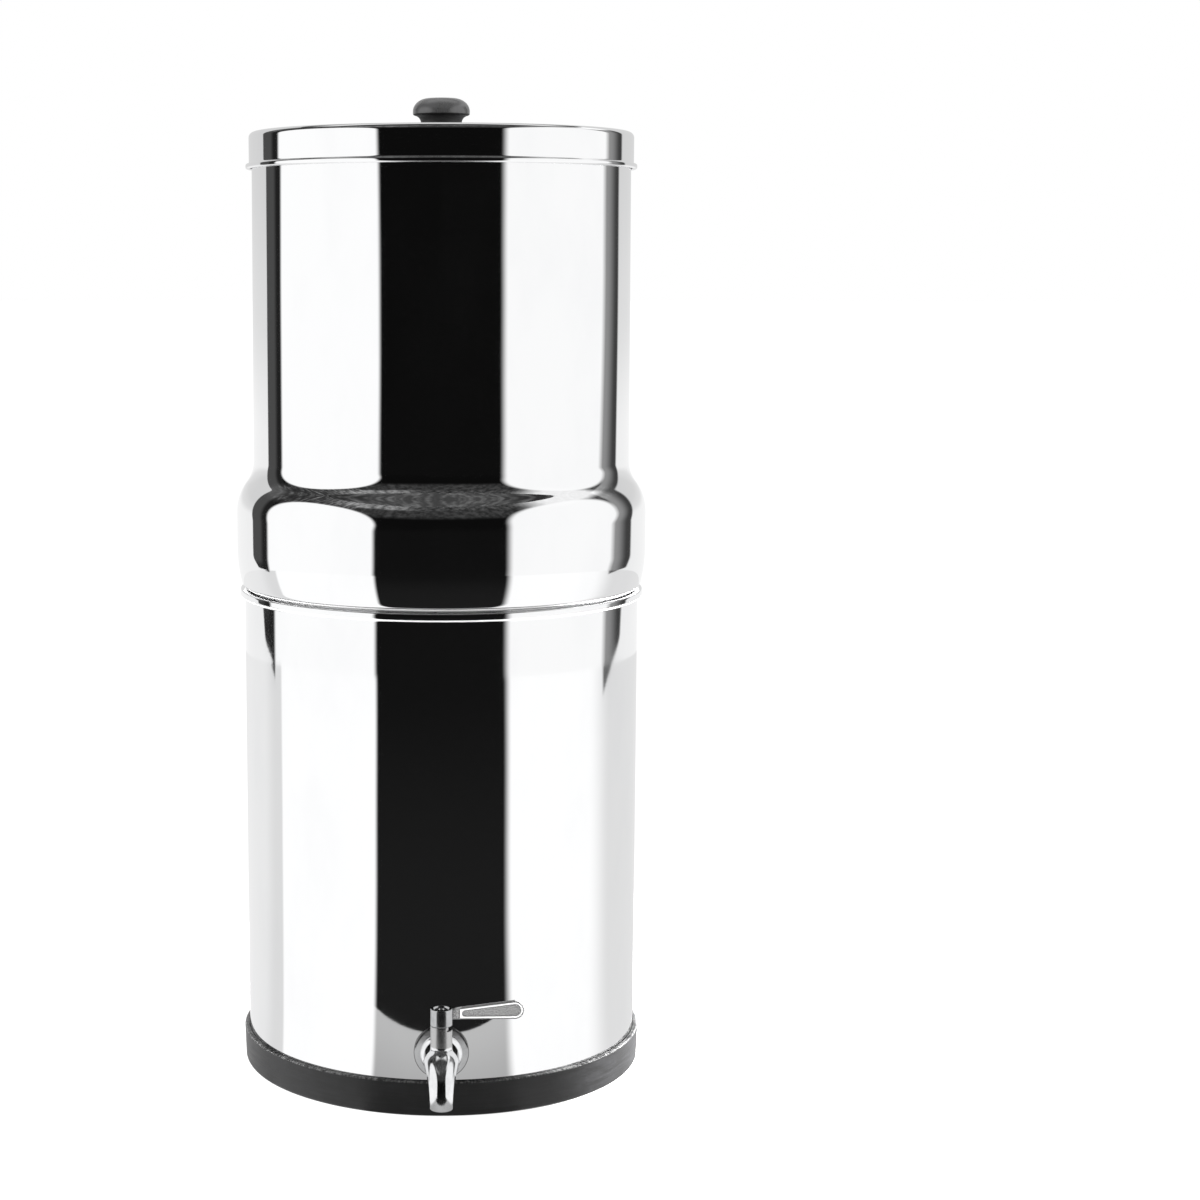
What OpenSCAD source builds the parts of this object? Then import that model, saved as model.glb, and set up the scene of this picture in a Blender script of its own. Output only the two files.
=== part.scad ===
// Gravity water filter with tap: two stacked steel chambers, two carbon elements and a lever tap.
// The origin is at the centre of the base, on the surface it stands on. +Z is up, the tap faces -Y.
// All sizes are in millimetres.

/* [Chambers] */
// Outer radius of the lower chamber
body_r = 120; // [115:0.5:125]
// Thickness of the pressed steel sheet
sheet = 0.8; // [0.6:0.1:1]
// Height of the lower chamber's rim
rim_z = 295; // [280:1:310]
// Height of the flat hem round the lower chamber's rim
hem_h = 5.5; // [5:0.5:9]
// Height of the band where the upper chamber is widest
bulge_h = 21.5; // [15:0.5:30]

/* [Base] */
// Height of the rubber base ring
base_h = 20.8; // [18:0.2:23]
// Outer radius of the base ring at its top
base_r = 123; // [121.5:0.5:124]

/* [Lid] */
// Outer radius of the lid's skirt
lid_r = 115; // [114.8:0.1:116]
// Height of the lid's top face
lid_z = 567.7; // [567:0.1:570]
// Depth of the lid from its top face to the underside of its flange
lid_depth = 21.5; // [18:0.1:24]
// Largest radius of the knob
knob_r = 17; // [15:0.5:20]
// Height of the knob
knob_h = 20.4; // [18:0.2:24]

/* [Filter elements] */
// Distance of each element's axis from the middle of the chamber
element_x = 65; // [60:1:68]
// Outer radius of the carbon block
carbon_r = 35; // [30:0.5:36]
// Length of the carbon block
carbon_len = 236; // [200:1:240]
// Outer radius of the cup that holds the block
cup_r = 36.5; // [36.5:0.5:38]
// Height of the cup
cup_h = 16; // [12:0.5:20]
// Radius over the stem's thread crests
stem_r = 8.65; // [8:0.05:8.8]

/* [Tap] */
// Height of the tap's shank axis
tap_z = 39.5; // [39.4:0.1:45]
// Distance from the chamber's wall to the valve's vertical axis
valve_reach = 22; // [20:0.5:26]
// Radius of the tap's flange
flange_r = 16; // [14:0.5:16]
// Radius of the valve housing and of the lever's hub
hub_r = 6.25; // [6:0.05:7]
// Distance from the valve's axis to the middle of the lever's round end
lever_len = 41.8; // [35:0.2:50]
// Outer radius of the spout's mouth
spout_r = 6.7; // [6.5:0.1:7.5]

/* [Hidden] */
$fn = 96;

// Gap between flat faces of bodies that rest on each other, and over a round rim
rest_gap = 0.1;
rim_gap = 0.3;
// Radial clearance of a running fit
run_gap = 0.05;
// Facets of a chamber's wall where a washer is shaped to it
wall_facets = 720;
// Steps along a rounded corner, and along a long curve
corner_steps = 6;
curve_steps = 12;

// Base ring
base_lip_h = 8;
base_lip_r = 102;
base_bottom_r = base_r - 0.6;
base_foot_round = 2.3;

// Lower chamber
hem_r = body_r + 2.2;
hem_round = 1.5;
foot_round = 8;
wall_hole_r = 8.2;

// Lid
lid_sheet = 0.7;
lid_round = 5;
flange_h = 3;
flange_reach = 2;
flange_round = 1;
knob_hole_r = 2.7;

// Upper chamber: the step that nests in the lower chamber's mouth, the bulge and the wall above it
step_r = body_r - sheet - 1.2;
floor_z = rim_z - 12;
floor_top = floor_z + sheet;
floor_round = 4;
ledge_z = rim_z + rim_gap;
ledge_round = 3.2;
bulge_r = body_r + 4.4;
bulge_foot_round = 90;
bulge_foot_z = rim_z + 25;
bulge_top_z = bulge_foot_z + bulge_h;
shoulder_round = 30;
shoulder_sweep = 37;
neck_round = 22;
mouth_r = 113.3;
mouth_bead = 1.5;
// The bead round the mouth stands in the lid's rounded corner
bead_reach = lid_round - lid_sheet - mouth_bead - rim_gap;
bead_offset = mouth_r - mouth_bead - (lid_r - lid_round);
mouth_z = lid_z - lid_round + sqrt(bead_reach * bead_reach - bead_offset * bead_offset) + mouth_bead;
element_hole_r = 9;
plug_y = 65;

// Element, measured up and down from the chamber's floor
washer_h = 2.5;
washer_z = floor_top + rest_gap;
boss_h = 6.5;
boss_r = 16.5;
boss_z = washer_z + washer_h;
cup_z = boss_z + boss_h;
cup_floor = 4;
carbon_z = cup_z + cup_floor;
core_r = 15;
core_cap = 12;
thread_len = 23.6;
thread_pitch = 1.8;
thread_depth = 0.9;
tip_len = 12.6;
tip_r = 7;
tip_z = washer_z - thread_len - tip_len;
stem_bore_r = 4;

// Wing nut
nut_z = floor_z - rest_gap;
nut_h = 12.3;
nut_r = 12;
nut_flange_r = 14.8;
nut_flange_h = 2.1;
nut_bore_r = stem_r + 0.1;
wing_reach = 20.3;
wing_w = 9;
wing_h = 7.6;
wing_t = 3;
wing_arm_w = 6.5;
wing_arm_h = 3.6;
wing_turn = 35;

// Tap
valve_y = -body_r - valve_reach;
outer_washer_h = 2;
flange_y = -body_r - outer_washer_h;
shank_r = 8;
shank_len = 27;
shank_thread_pitch = 1.5;
shank_thread_depth = 0.6;
cavity_r = 6.1;
barrel_r = 10;
spout_reach = 18;
bend_r = 16;
bore_bend_r = 11;
spout_bore_r = 4.25;
mouth_bottom_z = 18.6;
housing_top = tap_z + 22.1;
stem_bore = 4.05;
notch_depth = 2.4;
notch_from = -57.5;
notch_sweep = 118.5;
tap_washer_r = 14;
tap_washer_hole = 8.1;
inner_washer_h = 2;
tap_nut_h = 7;
tap_nut_flats = 24;

// Ball valve
ball_r = 5.6;
ball_bore_r = 3.4;
seat_len = 2.3;
seat_reach = 6.4;
seat_hole_r = 3.5;
retainer_len = 8;
key_w = 2.4;
key_top = tap_z + 5.9;
key_foot = tap_z + 4;
valve_stem_r = 4;
ring_z = tap_z + 13;
ring_r = 0.7;
groove_r = 2.6;
square_w = 5;
square_top = housing_top + 6.5;

// Lever
hub_gap = 0.2;
hub_z = housing_top + hub_gap;
hub_h = 9.8;
hub_recess_r = 4.6;
hub_recess_h = 2.5;
lever_screw_r = 1.5;
tab_turn = 47;
tab_sweep = 27;
tab_h = 2.1;
blade_t = 3;
blade_end_r = 5.2;
blade_end_z = tap_z + 31.4;
blade_top_slope = 7.4;
blade_bottom_slope = 0.6;
panel_from = 12;
panel_rim = 1.3;
panel_depth = 0.35;

steel = [0.78, 0.79, 0.8];
satin_steel = [0.66, 0.67, 0.68];
charcoal = [0.13, 0.13, 0.14];
knob_grey = [0.27, 0.27, 0.28];
moulded_grey = [0.3, 0.3, 0.31];
carbon_black = [0.07, 0.07, 0.08];
seal_black = [0.1, 0.1, 0.1];
seat_white = [0.9, 0.9, 0.88];

// Points along an arc, from one angle to another
function arc(cx, cy, r, from, to, steps) = [
    for (i = [0 : steps])
        let (a = from + (to - from) * i / steps)
            [cx + r * cos(a), cy + r * sin(a)]
];

// The list backwards
function reversed(points) = [for (i = [len(points) - 1 : -1 : 0]) points[i]];

// Zigzag edge of a thread, going down from z_top
function thread_edge(r, z_top, length, pitch, depth) = [
    for (i = [0 : floor(length / pitch) - 1], p = [0, 1, 2, 3])
        let (z = z_top - i * pitch)
            p == 0 ? [r - depth, z] :
            p == 1 ? [r, z - pitch * 0.38] :
            p == 2 ? [r, z - pitch * 0.52] :
            [r - depth, z - pitch * 0.9]
];

// A shape turned round the tap's shank axis: its X is the radius and its Y points out of the chamber
module on_shank() {
    translate([0, 0, tap_z]) rotate([90, 0, 0]) children();
}

// A shape turned round the valve's vertical axis
module on_valve() {
    translate([0, valve_y, 0]) children();
}

// Part of a ring round the Z axis
module ring_sector(inner, outer, z, height, from, sweep) {
    translate([0, 0, z])
        rotate([0, 0, from])
            rotate_extrude(angle = sweep)
                translate([inner, 0]) square([outer - inner, height]);
}

// Plain flat ring on the Z axis
module flat_ring(outer, inner, z, height) {
    translate([0, 0, z])
        difference() {
            cylinder(r = outer, h = height);
            translate([0, 0, -1]) cylinder(r = inner, h = height + 2);
        }
}

module base_ring() {
    inner_r = body_r + 0.05;
    color(charcoal)
        rotate_extrude($fn = 180)
            polygon(concat(
                [[base_lip_r, 0]],
                arc(base_bottom_r - base_foot_round, base_foot_round, base_foot_round, -90, 0, corner_steps),
                arc(base_r - 1, base_h - 1, 1, 0, 90, corner_steps),
                [[inner_r, base_h], [inner_r, base_lip_h], [base_lip_r, base_lip_h]]
            ));
}

// Outline of the lower chamber's sheet, moved inwards by t
function lower_outline(t) = concat(
    [[0, base_lip_h + t]],
    arc(body_r - foot_round, base_lip_h + foot_round, foot_round - t, -90, 0, corner_steps),
    [[body_r - t, rim_z - hem_round]]
);

module lower_chamber() {
    color(steel)
        difference() {
            rotate_extrude($fn = 180) {
                polygon(concat(lower_outline(0), reversed(lower_outline(sheet))));
                hem();
            }
            on_shank() translate([0, 0, body_r - 5]) cylinder(r = wall_hole_r, h = 10);
        }
}

// Section of the rolled hem, a flat band with round edges
module hem() {
    inner = body_r - sheet;
    for (z = [rim_z - hem_h + hem_round, rim_z - hem_round])
        translate([hem_r - hem_round, z]) circle(r = hem_round, $fn = 32);
    translate([inner + 0.6, rim_z - hem_h]) square([hem_r - hem_round - inner - 0.6, hem_h]);
    translate([inner, rim_z - hem_h]) square([1, hem_h - 0.6]);
    translate([inner + 0.6, rim_z - 0.6]) circle(r = 0.6, $fn = 32);
    translate([inner + 1, rim_z - hem_h + hem_round]) square([hem_r - inner - 1, hem_h - 2 * hem_round]);
}

// Height and radius of the point where the ledge's corner meets the bulge's foot
foot_centre = [bulge_r - bulge_foot_round, bulge_foot_z];
ledge_centre_z = ledge_z + ledge_round;
ledge_sweep = asin((bulge_foot_z - ledge_centre_z) / (bulge_foot_round - ledge_round));
ledge_centre_r = foot_centre[0] + (bulge_foot_round - ledge_round) * cos(ledge_sweep);
step_fillet = ledge_centre_r - step_r;
shoulder_centre = [bulge_r - shoulder_round, bulge_top_z];
neck_centre = shoulder_centre
    + (shoulder_round + neck_round) * [cos(shoulder_sweep), sin(shoulder_sweep)];

// Outline of the upper chamber's sheet, moved inwards by t
function upper_outline(t) = concat(
    [[0, floor_z + t]],
    arc(step_r - floor_round, floor_z + floor_round, floor_round - t, -90, 0, corner_steps),
    arc(step_r + step_fillet, ledge_z - step_fillet, step_fillet + t, 180, 90, corner_steps),
    arc(ledge_centre_r, ledge_centre_z, ledge_round - t, -90, -ledge_sweep, corner_steps),
    arc(foot_centre[0], foot_centre[1], bulge_foot_round - t, -ledge_sweep, 0, corner_steps),
    arc(shoulder_centre[0], shoulder_centre[1], shoulder_round - t, 0, shoulder_sweep, curve_steps),
    arc(neck_centre[0], neck_centre[1], neck_round + t, 180 + shoulder_sweep, 180, curve_steps),
    [[mouth_r - t, mouth_z - mouth_bead]]
);

module upper_chamber() {
    color(steel)
        difference() {
            rotate_extrude($fn = 180) {
                polygon(concat(upper_outline(0), reversed(upper_outline(sheet))));
                translate([mouth_r - mouth_bead, mouth_z - mouth_bead]) circle(r = mouth_bead, $fn = 48);
            }
            for (x = [-element_x, element_x])
                translate([x, 0, floor_z - 1]) cylinder(r = element_hole_r, h = 5);
            for (y = [-plug_y, plug_y])
                translate([0, y, floor_z - 1]) cylinder(r = element_hole_r, h = 5);
        }
}

// Outline of the lid's sheet, moved inwards by t
function lid_outline(t) = concat(
    [[lid_r - t, lid_z - lid_depth + flange_round]],
    arc(lid_r - lid_round, lid_z - lid_round, lid_round - t, 0, 90, corner_steps),
    [[0, lid_z - t]]
);

module lid_shell() {
    flange_z = lid_z - lid_depth;
    flange_outer = lid_r + flange_reach - flange_round;
    inner = lid_r - lid_sheet;
    color(steel)
        difference() {
            rotate_extrude($fn = 180) {
                polygon(concat(lid_outline(0), reversed(lid_outline(lid_sheet))));
                for (z = [flange_z + flange_round, flange_z + flange_h - flange_round])
                    translate([flange_outer, z]) circle(r = flange_round, $fn = 32);
                translate([inner, flange_z]) square([flange_outer - inner, flange_h]);
                translate([inner, flange_z + flange_round])
                    square([lid_r + flange_reach - inner, flange_h - 2 * flange_round]);
            }
            translate([0, 0, lid_z - 3]) cylinder(r = knob_hole_r, h = 6);
        }
}

// The knob: a neck that flares into a flat-topped dome
module lid_knob() {
    neck_r = 12.2;
    neck_h = 5.9;
    flare_r = 16;
    widest_z = lid_z + 12.7;
    screw_hole_r = 2.5;
    screw_hole_h = 13;
    edge_r = 1.2;
    color(knob_grey)
        difference() {
            rotate_extrude()
                polygon(concat(
                    [[0, lid_z], [neck_r, lid_z], [neck_r, lid_z + neck_h]],
                    arc(flare_r + 0.6, lid_z + neck_h, flare_r + 0.6 - neck_r, 180, 98, corner_steps),
                    arc(knob_r - edge_r, widest_z - edge_r, edge_r, -70, 0, 3),
                    [for (i = [1 : curve_steps])
                        let (a = 90 * i / curve_steps, flat = 0.45)
                            [knob_r * (flat + (1 - flat) * cos(a)),
                             widest_z + (lid_z + knob_h - widest_z) * sin(a)]],
                    [[0, lid_z + knob_h]]
                ));
            translate([0, 0, lid_z - 1]) cylinder(r = screw_hole_r, h = screw_hole_h + 1);
        }
}

knob_washer_h = 1.2;
knob_washer_z = lid_z - lid_sheet - knob_washer_h;

module knob_washer() {
    color(satin_steel) flat_ring(7, knob_hole_r, knob_washer_z, knob_washer_h);
}

// Pan head with a cross recess under the lid, and a shank up into the knob
module knob_screw() {
    head_h = 2.6;
    head_r = 4.6;
    color(satin_steel)
        difference() {
            union() {
                rotate_extrude()
                    polygon(concat(
                        [[0, knob_washer_z], [head_r, knob_washer_z]],
                        arc(head_r - 2, knob_washer_z - head_h + 2, 2, 0, -90, corner_steps),
                        [[0, knob_washer_z - head_h]]
                    ));
                translate([0, 0, knob_washer_z]) cylinder(r = 2.5, h = 14);
            }
            for (turn = [0, 90])
                translate([0, 0, knob_washer_z - head_h])
                    rotate([0, 0, turn]) cube([5, 1, 2.6], center = true);
        }
}

// Rubber bung: a domed head on the floor, a groove that grips the sheet and a tapered nose below
module blanking_plug(y) {
    head_r = 13;
    head_h = 3.6;
    lip_r = 10.6;
    color(seal_black)
        translate([0, y, 0])
            rotate_extrude($fn = 64)
                polygon(concat(
                    [[0, floor_z - 9], [7, floor_z - 9], [lip_r, floor_z - 3], [lip_r, floor_z]],
                    [[element_hole_r, floor_z], [element_hole_r, floor_top], [head_r, floor_top]],
                    arc(head_r - 2, floor_top + head_h - 2, 2, 0, 90, corner_steps),
                    [[0, floor_top + head_h]]
                ));
}

module blanking_plug_front() {
    blanking_plug(-plug_y);
}

module blanking_plug_rear() {
    blanking_plug(plug_y);
}

// Pressed carbon block with a blind core, standing in the cup
module carbon(side) {
    top = carbon_z + carbon_len;
    color(carbon_black)
        translate([side * element_x, 0, 0])
            difference() {
                rotate_extrude()
                    polygon(concat(
                        [[0, carbon_z], [carbon_r, carbon_z]],
                        arc(carbon_r - 2, top - 2, 2, 0, 90, corner_steps),
                        [[0, top]]
                    ));
                translate([0, 0, carbon_z - 1]) cylinder(r = core_r, h = carbon_len - core_cap + 1);
            }
}

module carbon_left() {
    carbon(-1);
}

module carbon_right() {
    carbon(1);
}

// Cup, collar, threaded stem and tapered outlet in one moulding
module element_base(side) {
    cup_inner = carbon_r + 0.05;
    slot_z = boss_z + boss_h * 0.55;
    color(moulded_grey)
        translate([side * element_x, 0, 0])
            difference() {
                rotate_extrude()
                    polygon(concat(
                        [[stem_bore_r, tip_z], [tip_r, tip_z], [stem_r, tip_z + tip_len]],
                        reversed(thread_edge(
                            stem_r, boss_z - 1.5, thread_len - 0.2, thread_pitch, thread_depth)),
                        [[stem_r - thread_depth, boss_z], [boss_r, boss_z], [boss_r, cup_z]],
                        [[cup_r - 1, cup_z], [cup_r, cup_z + 1], [cup_r, cup_z + cup_h - 0.6]],
                        [[cup_r - 0.5, cup_z + cup_h], [cup_inner, cup_z + cup_h], [cup_inner, carbon_z]],
                        [[stem_bore_r, carbon_z]]
                    ));
                for (turn = [15 : 120 : 255])
                    ring_sector(boss_r - 1, boss_r + 1, slot_z - 0.6, 1.2, turn, 60);
            }
}

module element_base_left() {
    element_base(-1);
}

module element_base_right() {
    element_base(1);
}

module element_washer(side) {
    color(seal_black)
        translate([side * element_x, 0, 0]) flat_ring(boss_r, stem_r + 0.1, washer_z, washer_h);
}

module element_washer_left() {
    element_washer(-1);
}

module element_washer_right() {
    element_washer(1);
}

// Round nut with a thin flange against the floor and two L-shaped wings
module wing_nut(side) {
    color(moulded_grey)
        translate([side * element_x, 0, 0])
            difference() {
                union() {
                    translate([0, 0, nut_z - nut_flange_h]) cylinder(r = nut_flange_r, h = nut_flange_h);
                    translate([0, 0, nut_z - nut_h]) cylinder(r = nut_r, h = nut_h - 1);
                    for (turn = [wing_turn, wing_turn + 180])
                        rotate([0, 0, -turn]) wing();
                }
                translate([0, 0, nut_z - nut_h - 1]) cylinder(r = nut_bore_r, h = nut_h + 2);
            }
}

// One wing, pointing along +X
module wing() {
    top = nut_z - 0.4;
    translate([nut_r - 1.5, -wing_arm_w / 2, top - wing_h])
        cube([wing_reach - nut_r, wing_arm_w, wing_arm_h]);
    translate([wing_reach - wing_t, -wing_w / 2, top - wing_h]) cube([wing_t, wing_w, wing_h]);
}

module wing_nut_left() {
    wing_nut(-1);
}

module wing_nut_right() {
    wing_nut(1);
}

// Outline of the casting round the shank axis: threaded shank, flange, domed collar and barrel
function tap_outline() = concat(
    [[0, body_r - shank_len], [shank_r - shank_thread_depth, body_r - shank_len]],
    [for (p = thread_edge(shank_r, 0, shank_len - 4, shank_thread_pitch, shank_thread_depth))
        [p[0], body_r - shank_len + 0.5 - p[1]]],
    [[shank_r - shank_thread_depth, -flange_y], [flange_r - 0.4, -flange_y]],
    [[flange_r, 0.4 - flange_y], [flange_r, 2 - flange_y], [flange_r - 0.6, 2.5 - flange_y]],
    [[13.2, 3.6 - flange_y], [12.2, 3.6 - flange_y]],
    arc(barrel_r - 1.2, 5.2 - flange_y, 3.4, 0, 70, corner_steps),
    [[barrel_r, 8.6 - flange_y], [barrel_r, -valve_y], [0, -valve_y]]
);

// One slice of the bend, at an angle from the horizontal barrel down to the vertical mouth
module bend_slice(turn) {
    slice_r = barrel_r - (barrel_r - spout_r) * pow(turn / 90, 1.2);
    translate([0, valve_y - (spout_reach - bend_r), tap_z - bend_r])
        rotate([turn, 0, 0])
            translate([0, 0, bend_r])
                rotate([90, 0, 0])
                    cylinder(r = slice_r, h = 0.01, $fn = 32);
}

module tap_body() {
    bend_step = 18;
    bore_start_y = valve_y - seat_reach + 0.5;
    color(satin_steel)
        difference() {
            union() {
                on_shank() rotate_extrude() polygon(tap_outline());
                on_shank() translate([0, 0, -valve_y - 0.01])
                    cylinder(r = barrel_r, h = spout_reach - bend_r + 0.02);
                for (turn = [0 : bend_step : 90 - bend_step])
                    hull() {
                        bend_slice(turn);
                        bend_slice(turn + bend_step);
                    }
                translate([0, valve_y - spout_reach, mouth_bottom_z])
                    cylinder(r = spout_r, h = tap_z - bend_r - mouth_bottom_z + 0.5);
                on_valve() translate([0, 0, tap_z]) cylinder(r = hub_r, h = housing_top - tap_z);
            }
            on_shank() translate([0, 0, body_r - shank_len - 1])
                cylinder(r = cavity_r, h = shank_len + valve_reach + seat_reach + 1);
            on_valve() translate([0, 0, tap_z]) cylinder(r = stem_bore, h = housing_top - tap_z + 1);
            on_valve()
                ring_sector(
                    stem_bore - 0.5, hub_r + 1,
                    housing_top - notch_depth, notch_depth + 1, notch_from, notch_sweep);
            translate([0, bore_start_y, tap_z]) rotate([90, 0, 0])
                cylinder(r = spout_bore_r, h = bore_start_y - valve_y + spout_reach - bore_bend_r);
            translate([0, valve_y - spout_reach + bore_bend_r, tap_z - bore_bend_r])
                rotate([0, -90, 0]) rotate([0, 0, -90])
                    rotate_extrude(angle = 90) translate([bore_bend_r, 0]) circle(r = spout_bore_r);
            translate([0, valve_y - spout_reach, mouth_bottom_z - 1])
                cylinder(r = spout_bore_r, h = tap_z - bore_bend_r - mouth_bottom_z + 1.01);
        }
}

// Rubber washer outside the wall, shaped to its curve
module tap_outer_washer() {
    color(seal_black)
        difference() {
            on_shank() flat_ring(tap_washer_r, tap_washer_hole, body_r - 3, 3 + outer_washer_h);
            cylinder(r = body_r, h = 100, $fn = wall_facets);
        }
}

// Rubber washer inside the wall
module tap_inner_washer() {
    inner = body_r - sheet;
    color(seal_black)
        intersection() {
            on_shank() flat_ring(tap_washer_r, tap_washer_hole, inner - inner_washer_h - 0.6, 5);
            cylinder(r = inner, h = 100, $fn = wall_facets);
        }
}

module tap_nut() {
    nut_from = body_r - sheet - inner_washer_h - 0.6 - tap_nut_h;
    color(satin_steel)
        on_shank()
            difference() {
                intersection() {
                    translate([0, 0, nut_from])
                        cylinder(r = tap_nut_flats / 2 / cos(30), h = tap_nut_h, $fn = 6);
                    rotate_extrude()
                        polygon([
                            [0, nut_from], [tap_nut_flats / 2 - 0.3, nut_from],
                            [tap_nut_flats / 2 + 2.4, nut_from + 1.6],
                            [tap_nut_flats / 2 + 2.4, nut_from + tap_nut_h], [0, nut_from + tap_nut_h]
                        ]);
                }
                translate([0, 0, nut_from - 1]) cylinder(r = shank_r + 0.05, h = tap_nut_h + 2);
            }
}

// Hollow screw behind the rear seat, with a slot across its end
module seat_retainer() {
    front = -valve_y - seat_reach;
    color(satin_steel)
        on_shank()
            difference() {
                flat_ring(cavity_r - run_gap, seat_hole_r, front - retainer_len, retainer_len);
                translate([0, 0, front - retainer_len]) cube([2 * cavity_r + 1, 1.6, 3], center = true);
            }
}

// A seat: a ring hollowed to the ball's shape
module valve_seat(toward) {
    color(seat_white)
        difference() {
            on_shank()
                flat_ring(
                    cavity_r - run_gap, seat_hole_r,
                    -valve_y + (toward > 0 ? seat_reach - seat_len : -seat_reach), seat_len);
            translate([0, valve_y, tap_z]) sphere(r = ball_r + run_gap);
        }
}

module valve_seat_front() {
    valve_seat(1);
}

module valve_seat_rear() {
    valve_seat(-1);
}

// Drilled ball, shut at rest: its bore lies across the waterway. A slot on top takes the stem's key.
module valve_ball() {
    color(steel)
        translate([0, valve_y, tap_z])
            difference() {
                sphere(r = ball_r);
                rotate([0, 90, 0]) cylinder(r = ball_bore_r, h = 4 * ball_r, center = true);
                translate([-ball_r, -key_w / 2, key_foot - tap_z]) cube([2 * ball_r, key_w, ball_r]);
            }
}

// Stem: key in the ball's slot, round shaft with a groove, square end in the hub, hole for the screw
module valve_stem() {
    shaft_foot = key_top;
    key_gap = 0.02;
    color(steel)
        on_valve()
            difference() {
                union() {
                    rotate_extrude()
                        polygon([
                            [0, shaft_foot], [valve_stem_r, shaft_foot], [valve_stem_r, ring_z - 0.8],
                            [groove_r, ring_z - 0.8], [groove_r, ring_z + 0.8], [valve_stem_r, ring_z + 0.8],
                            [valve_stem_r, housing_top], [0, housing_top]
                        ]);
                    translate([-3, key_gap - key_w / 2, key_foot + key_gap])
                        cube([6, key_w - 2 * key_gap, key_top - key_foot]);
                    translate([-square_w / 2, -square_w / 2, housing_top - 0.1])
                        cube([square_w, square_w, square_top - housing_top + 0.1]);
                }
                translate([0, 0, square_top - 8]) cylinder(r = lever_screw_r + 0.02, h = 9, $fn = 32);
            }
}

module stem_o_ring() {
    color(seal_black)
        on_valve()
            translate([0, 0, ring_z])
                rotate_extrude() translate([groove_r + 0.02 + ring_r, 0]) circle(r = ring_r, $fn = 24);
}

// Side view of the lever's blade from x_from to its round end, smaller all round by inset
module blade_shape(x_from, inset) {
    end_r = blade_end_r - inset;
    up = [-sin(blade_top_slope), cos(blade_top_slope)] * end_r;
    down = [sin(blade_bottom_slope), -cos(blade_bottom_slope)] * end_r;
    end = [lever_len, blade_end_z];
    polygon([
        end + up,
        end + down,
        [x_from, (end + down)[1] - (lever_len - x_from) * tan(blade_bottom_slope)],
        [x_from, (end + up)[1] - (lever_len + up[0] - x_from) * tan(blade_top_slope)]
    ]);
    translate(end) circle(r = end_r, $fn = 64);
}

// Lever: hub with a stop tab below, and a flat blade with a sunken panel on each face
module tap_lever() {
    color(satin_steel)
        on_valve()
            difference() {
                union() {
                    translate([0, 0, hub_z]) cylinder(r = hub_r, h = hub_h);
                    ring_sector(
                        4.3, hub_r, hub_z - tab_h - hub_gap, tab_h + hub_gap + 0.5,
                        tab_turn - tab_sweep / 2, tab_sweep);
                    translate([0, blade_t / 2, 0]) rotate([90, 0, 0])
                        linear_extrude(blade_t) blade_shape(4, 0);
                }
                translate([0, 0, hub_z + hub_h - hub_recess_h]) cylinder(r = hub_recess_r, h = 4);
                translate([0, 0, hub_z + hub_h / 2])
                    cube([square_w + 0.06, square_w + 0.06, hub_h + 2], center = true);
                for (face = [-1, 1])
                    translate([0, face * (blade_t / 2 - panel_depth / 2 + 0.5) + (panel_depth + 1) / 2, 0])
                        rotate([90, 0, 0])
                            linear_extrude(panel_depth + 1) blade_shape(panel_from, panel_rim);
            }
}

// Domed screw in the hub's recess
module lever_screw() {
    seat_z = hub_z + hub_h - hub_recess_h;
    head_r = 4.2;
    head_h = 1.9;
    color(steel)
        on_valve()
            difference() {
                union() {
                    rotate_extrude()
                        polygon(concat(
                            [[0, seat_z], [head_r, seat_z], [head_r, seat_z + 0.8]],
                            arc(head_r - 1.1, seat_z + head_h - 1.1, 1.1, 0, 90, corner_steps),
                            [[0, seat_z + head_h]]
                        ));
                    translate([0, 0, seat_z - 8]) cylinder(r = lever_screw_r, h = 8.5, $fn = 32);
                }
                translate([0, 0, seat_z + head_h - 0.9]) cylinder(r = 1.5 / cos(30), h = 2, $fn = 6);
            }
}

base_ring();
lower_chamber();
upper_chamber();
lid_shell();
lid_knob();
knob_screw();
knob_washer();
blanking_plug_front();
blanking_plug_rear();
carbon_left();
carbon_right();
element_base_left();
element_base_right();
element_washer_left();
element_washer_right();
wing_nut_left();
wing_nut_right();
tap_body();
tap_outer_washer();
tap_inner_washer();
tap_nut();
seat_retainer();
valve_seat_front();
valve_seat_rear();
valve_ball();
valve_stem();
stem_o_ring();
tap_lever();
lever_screw();
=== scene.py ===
from math import acos, asin, cos, degrees, hypot, pi, radians, sin, tan

import bmesh
import bpy
import numpy as np
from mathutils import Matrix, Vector


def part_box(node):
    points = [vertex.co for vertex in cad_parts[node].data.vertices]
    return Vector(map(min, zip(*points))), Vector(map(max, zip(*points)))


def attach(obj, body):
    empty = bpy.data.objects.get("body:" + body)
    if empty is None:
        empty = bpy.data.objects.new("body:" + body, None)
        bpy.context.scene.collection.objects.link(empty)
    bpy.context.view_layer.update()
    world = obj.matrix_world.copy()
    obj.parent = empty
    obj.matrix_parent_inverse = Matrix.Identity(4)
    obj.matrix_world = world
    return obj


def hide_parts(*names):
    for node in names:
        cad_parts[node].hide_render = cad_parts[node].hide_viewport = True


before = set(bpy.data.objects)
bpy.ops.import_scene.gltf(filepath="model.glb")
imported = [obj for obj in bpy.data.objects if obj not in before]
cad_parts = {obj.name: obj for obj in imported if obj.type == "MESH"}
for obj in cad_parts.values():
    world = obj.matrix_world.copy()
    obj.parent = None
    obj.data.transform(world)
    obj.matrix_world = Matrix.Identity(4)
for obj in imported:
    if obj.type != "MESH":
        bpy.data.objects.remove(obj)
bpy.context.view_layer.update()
print("frame loaded:", len(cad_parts), "nodes")

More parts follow.
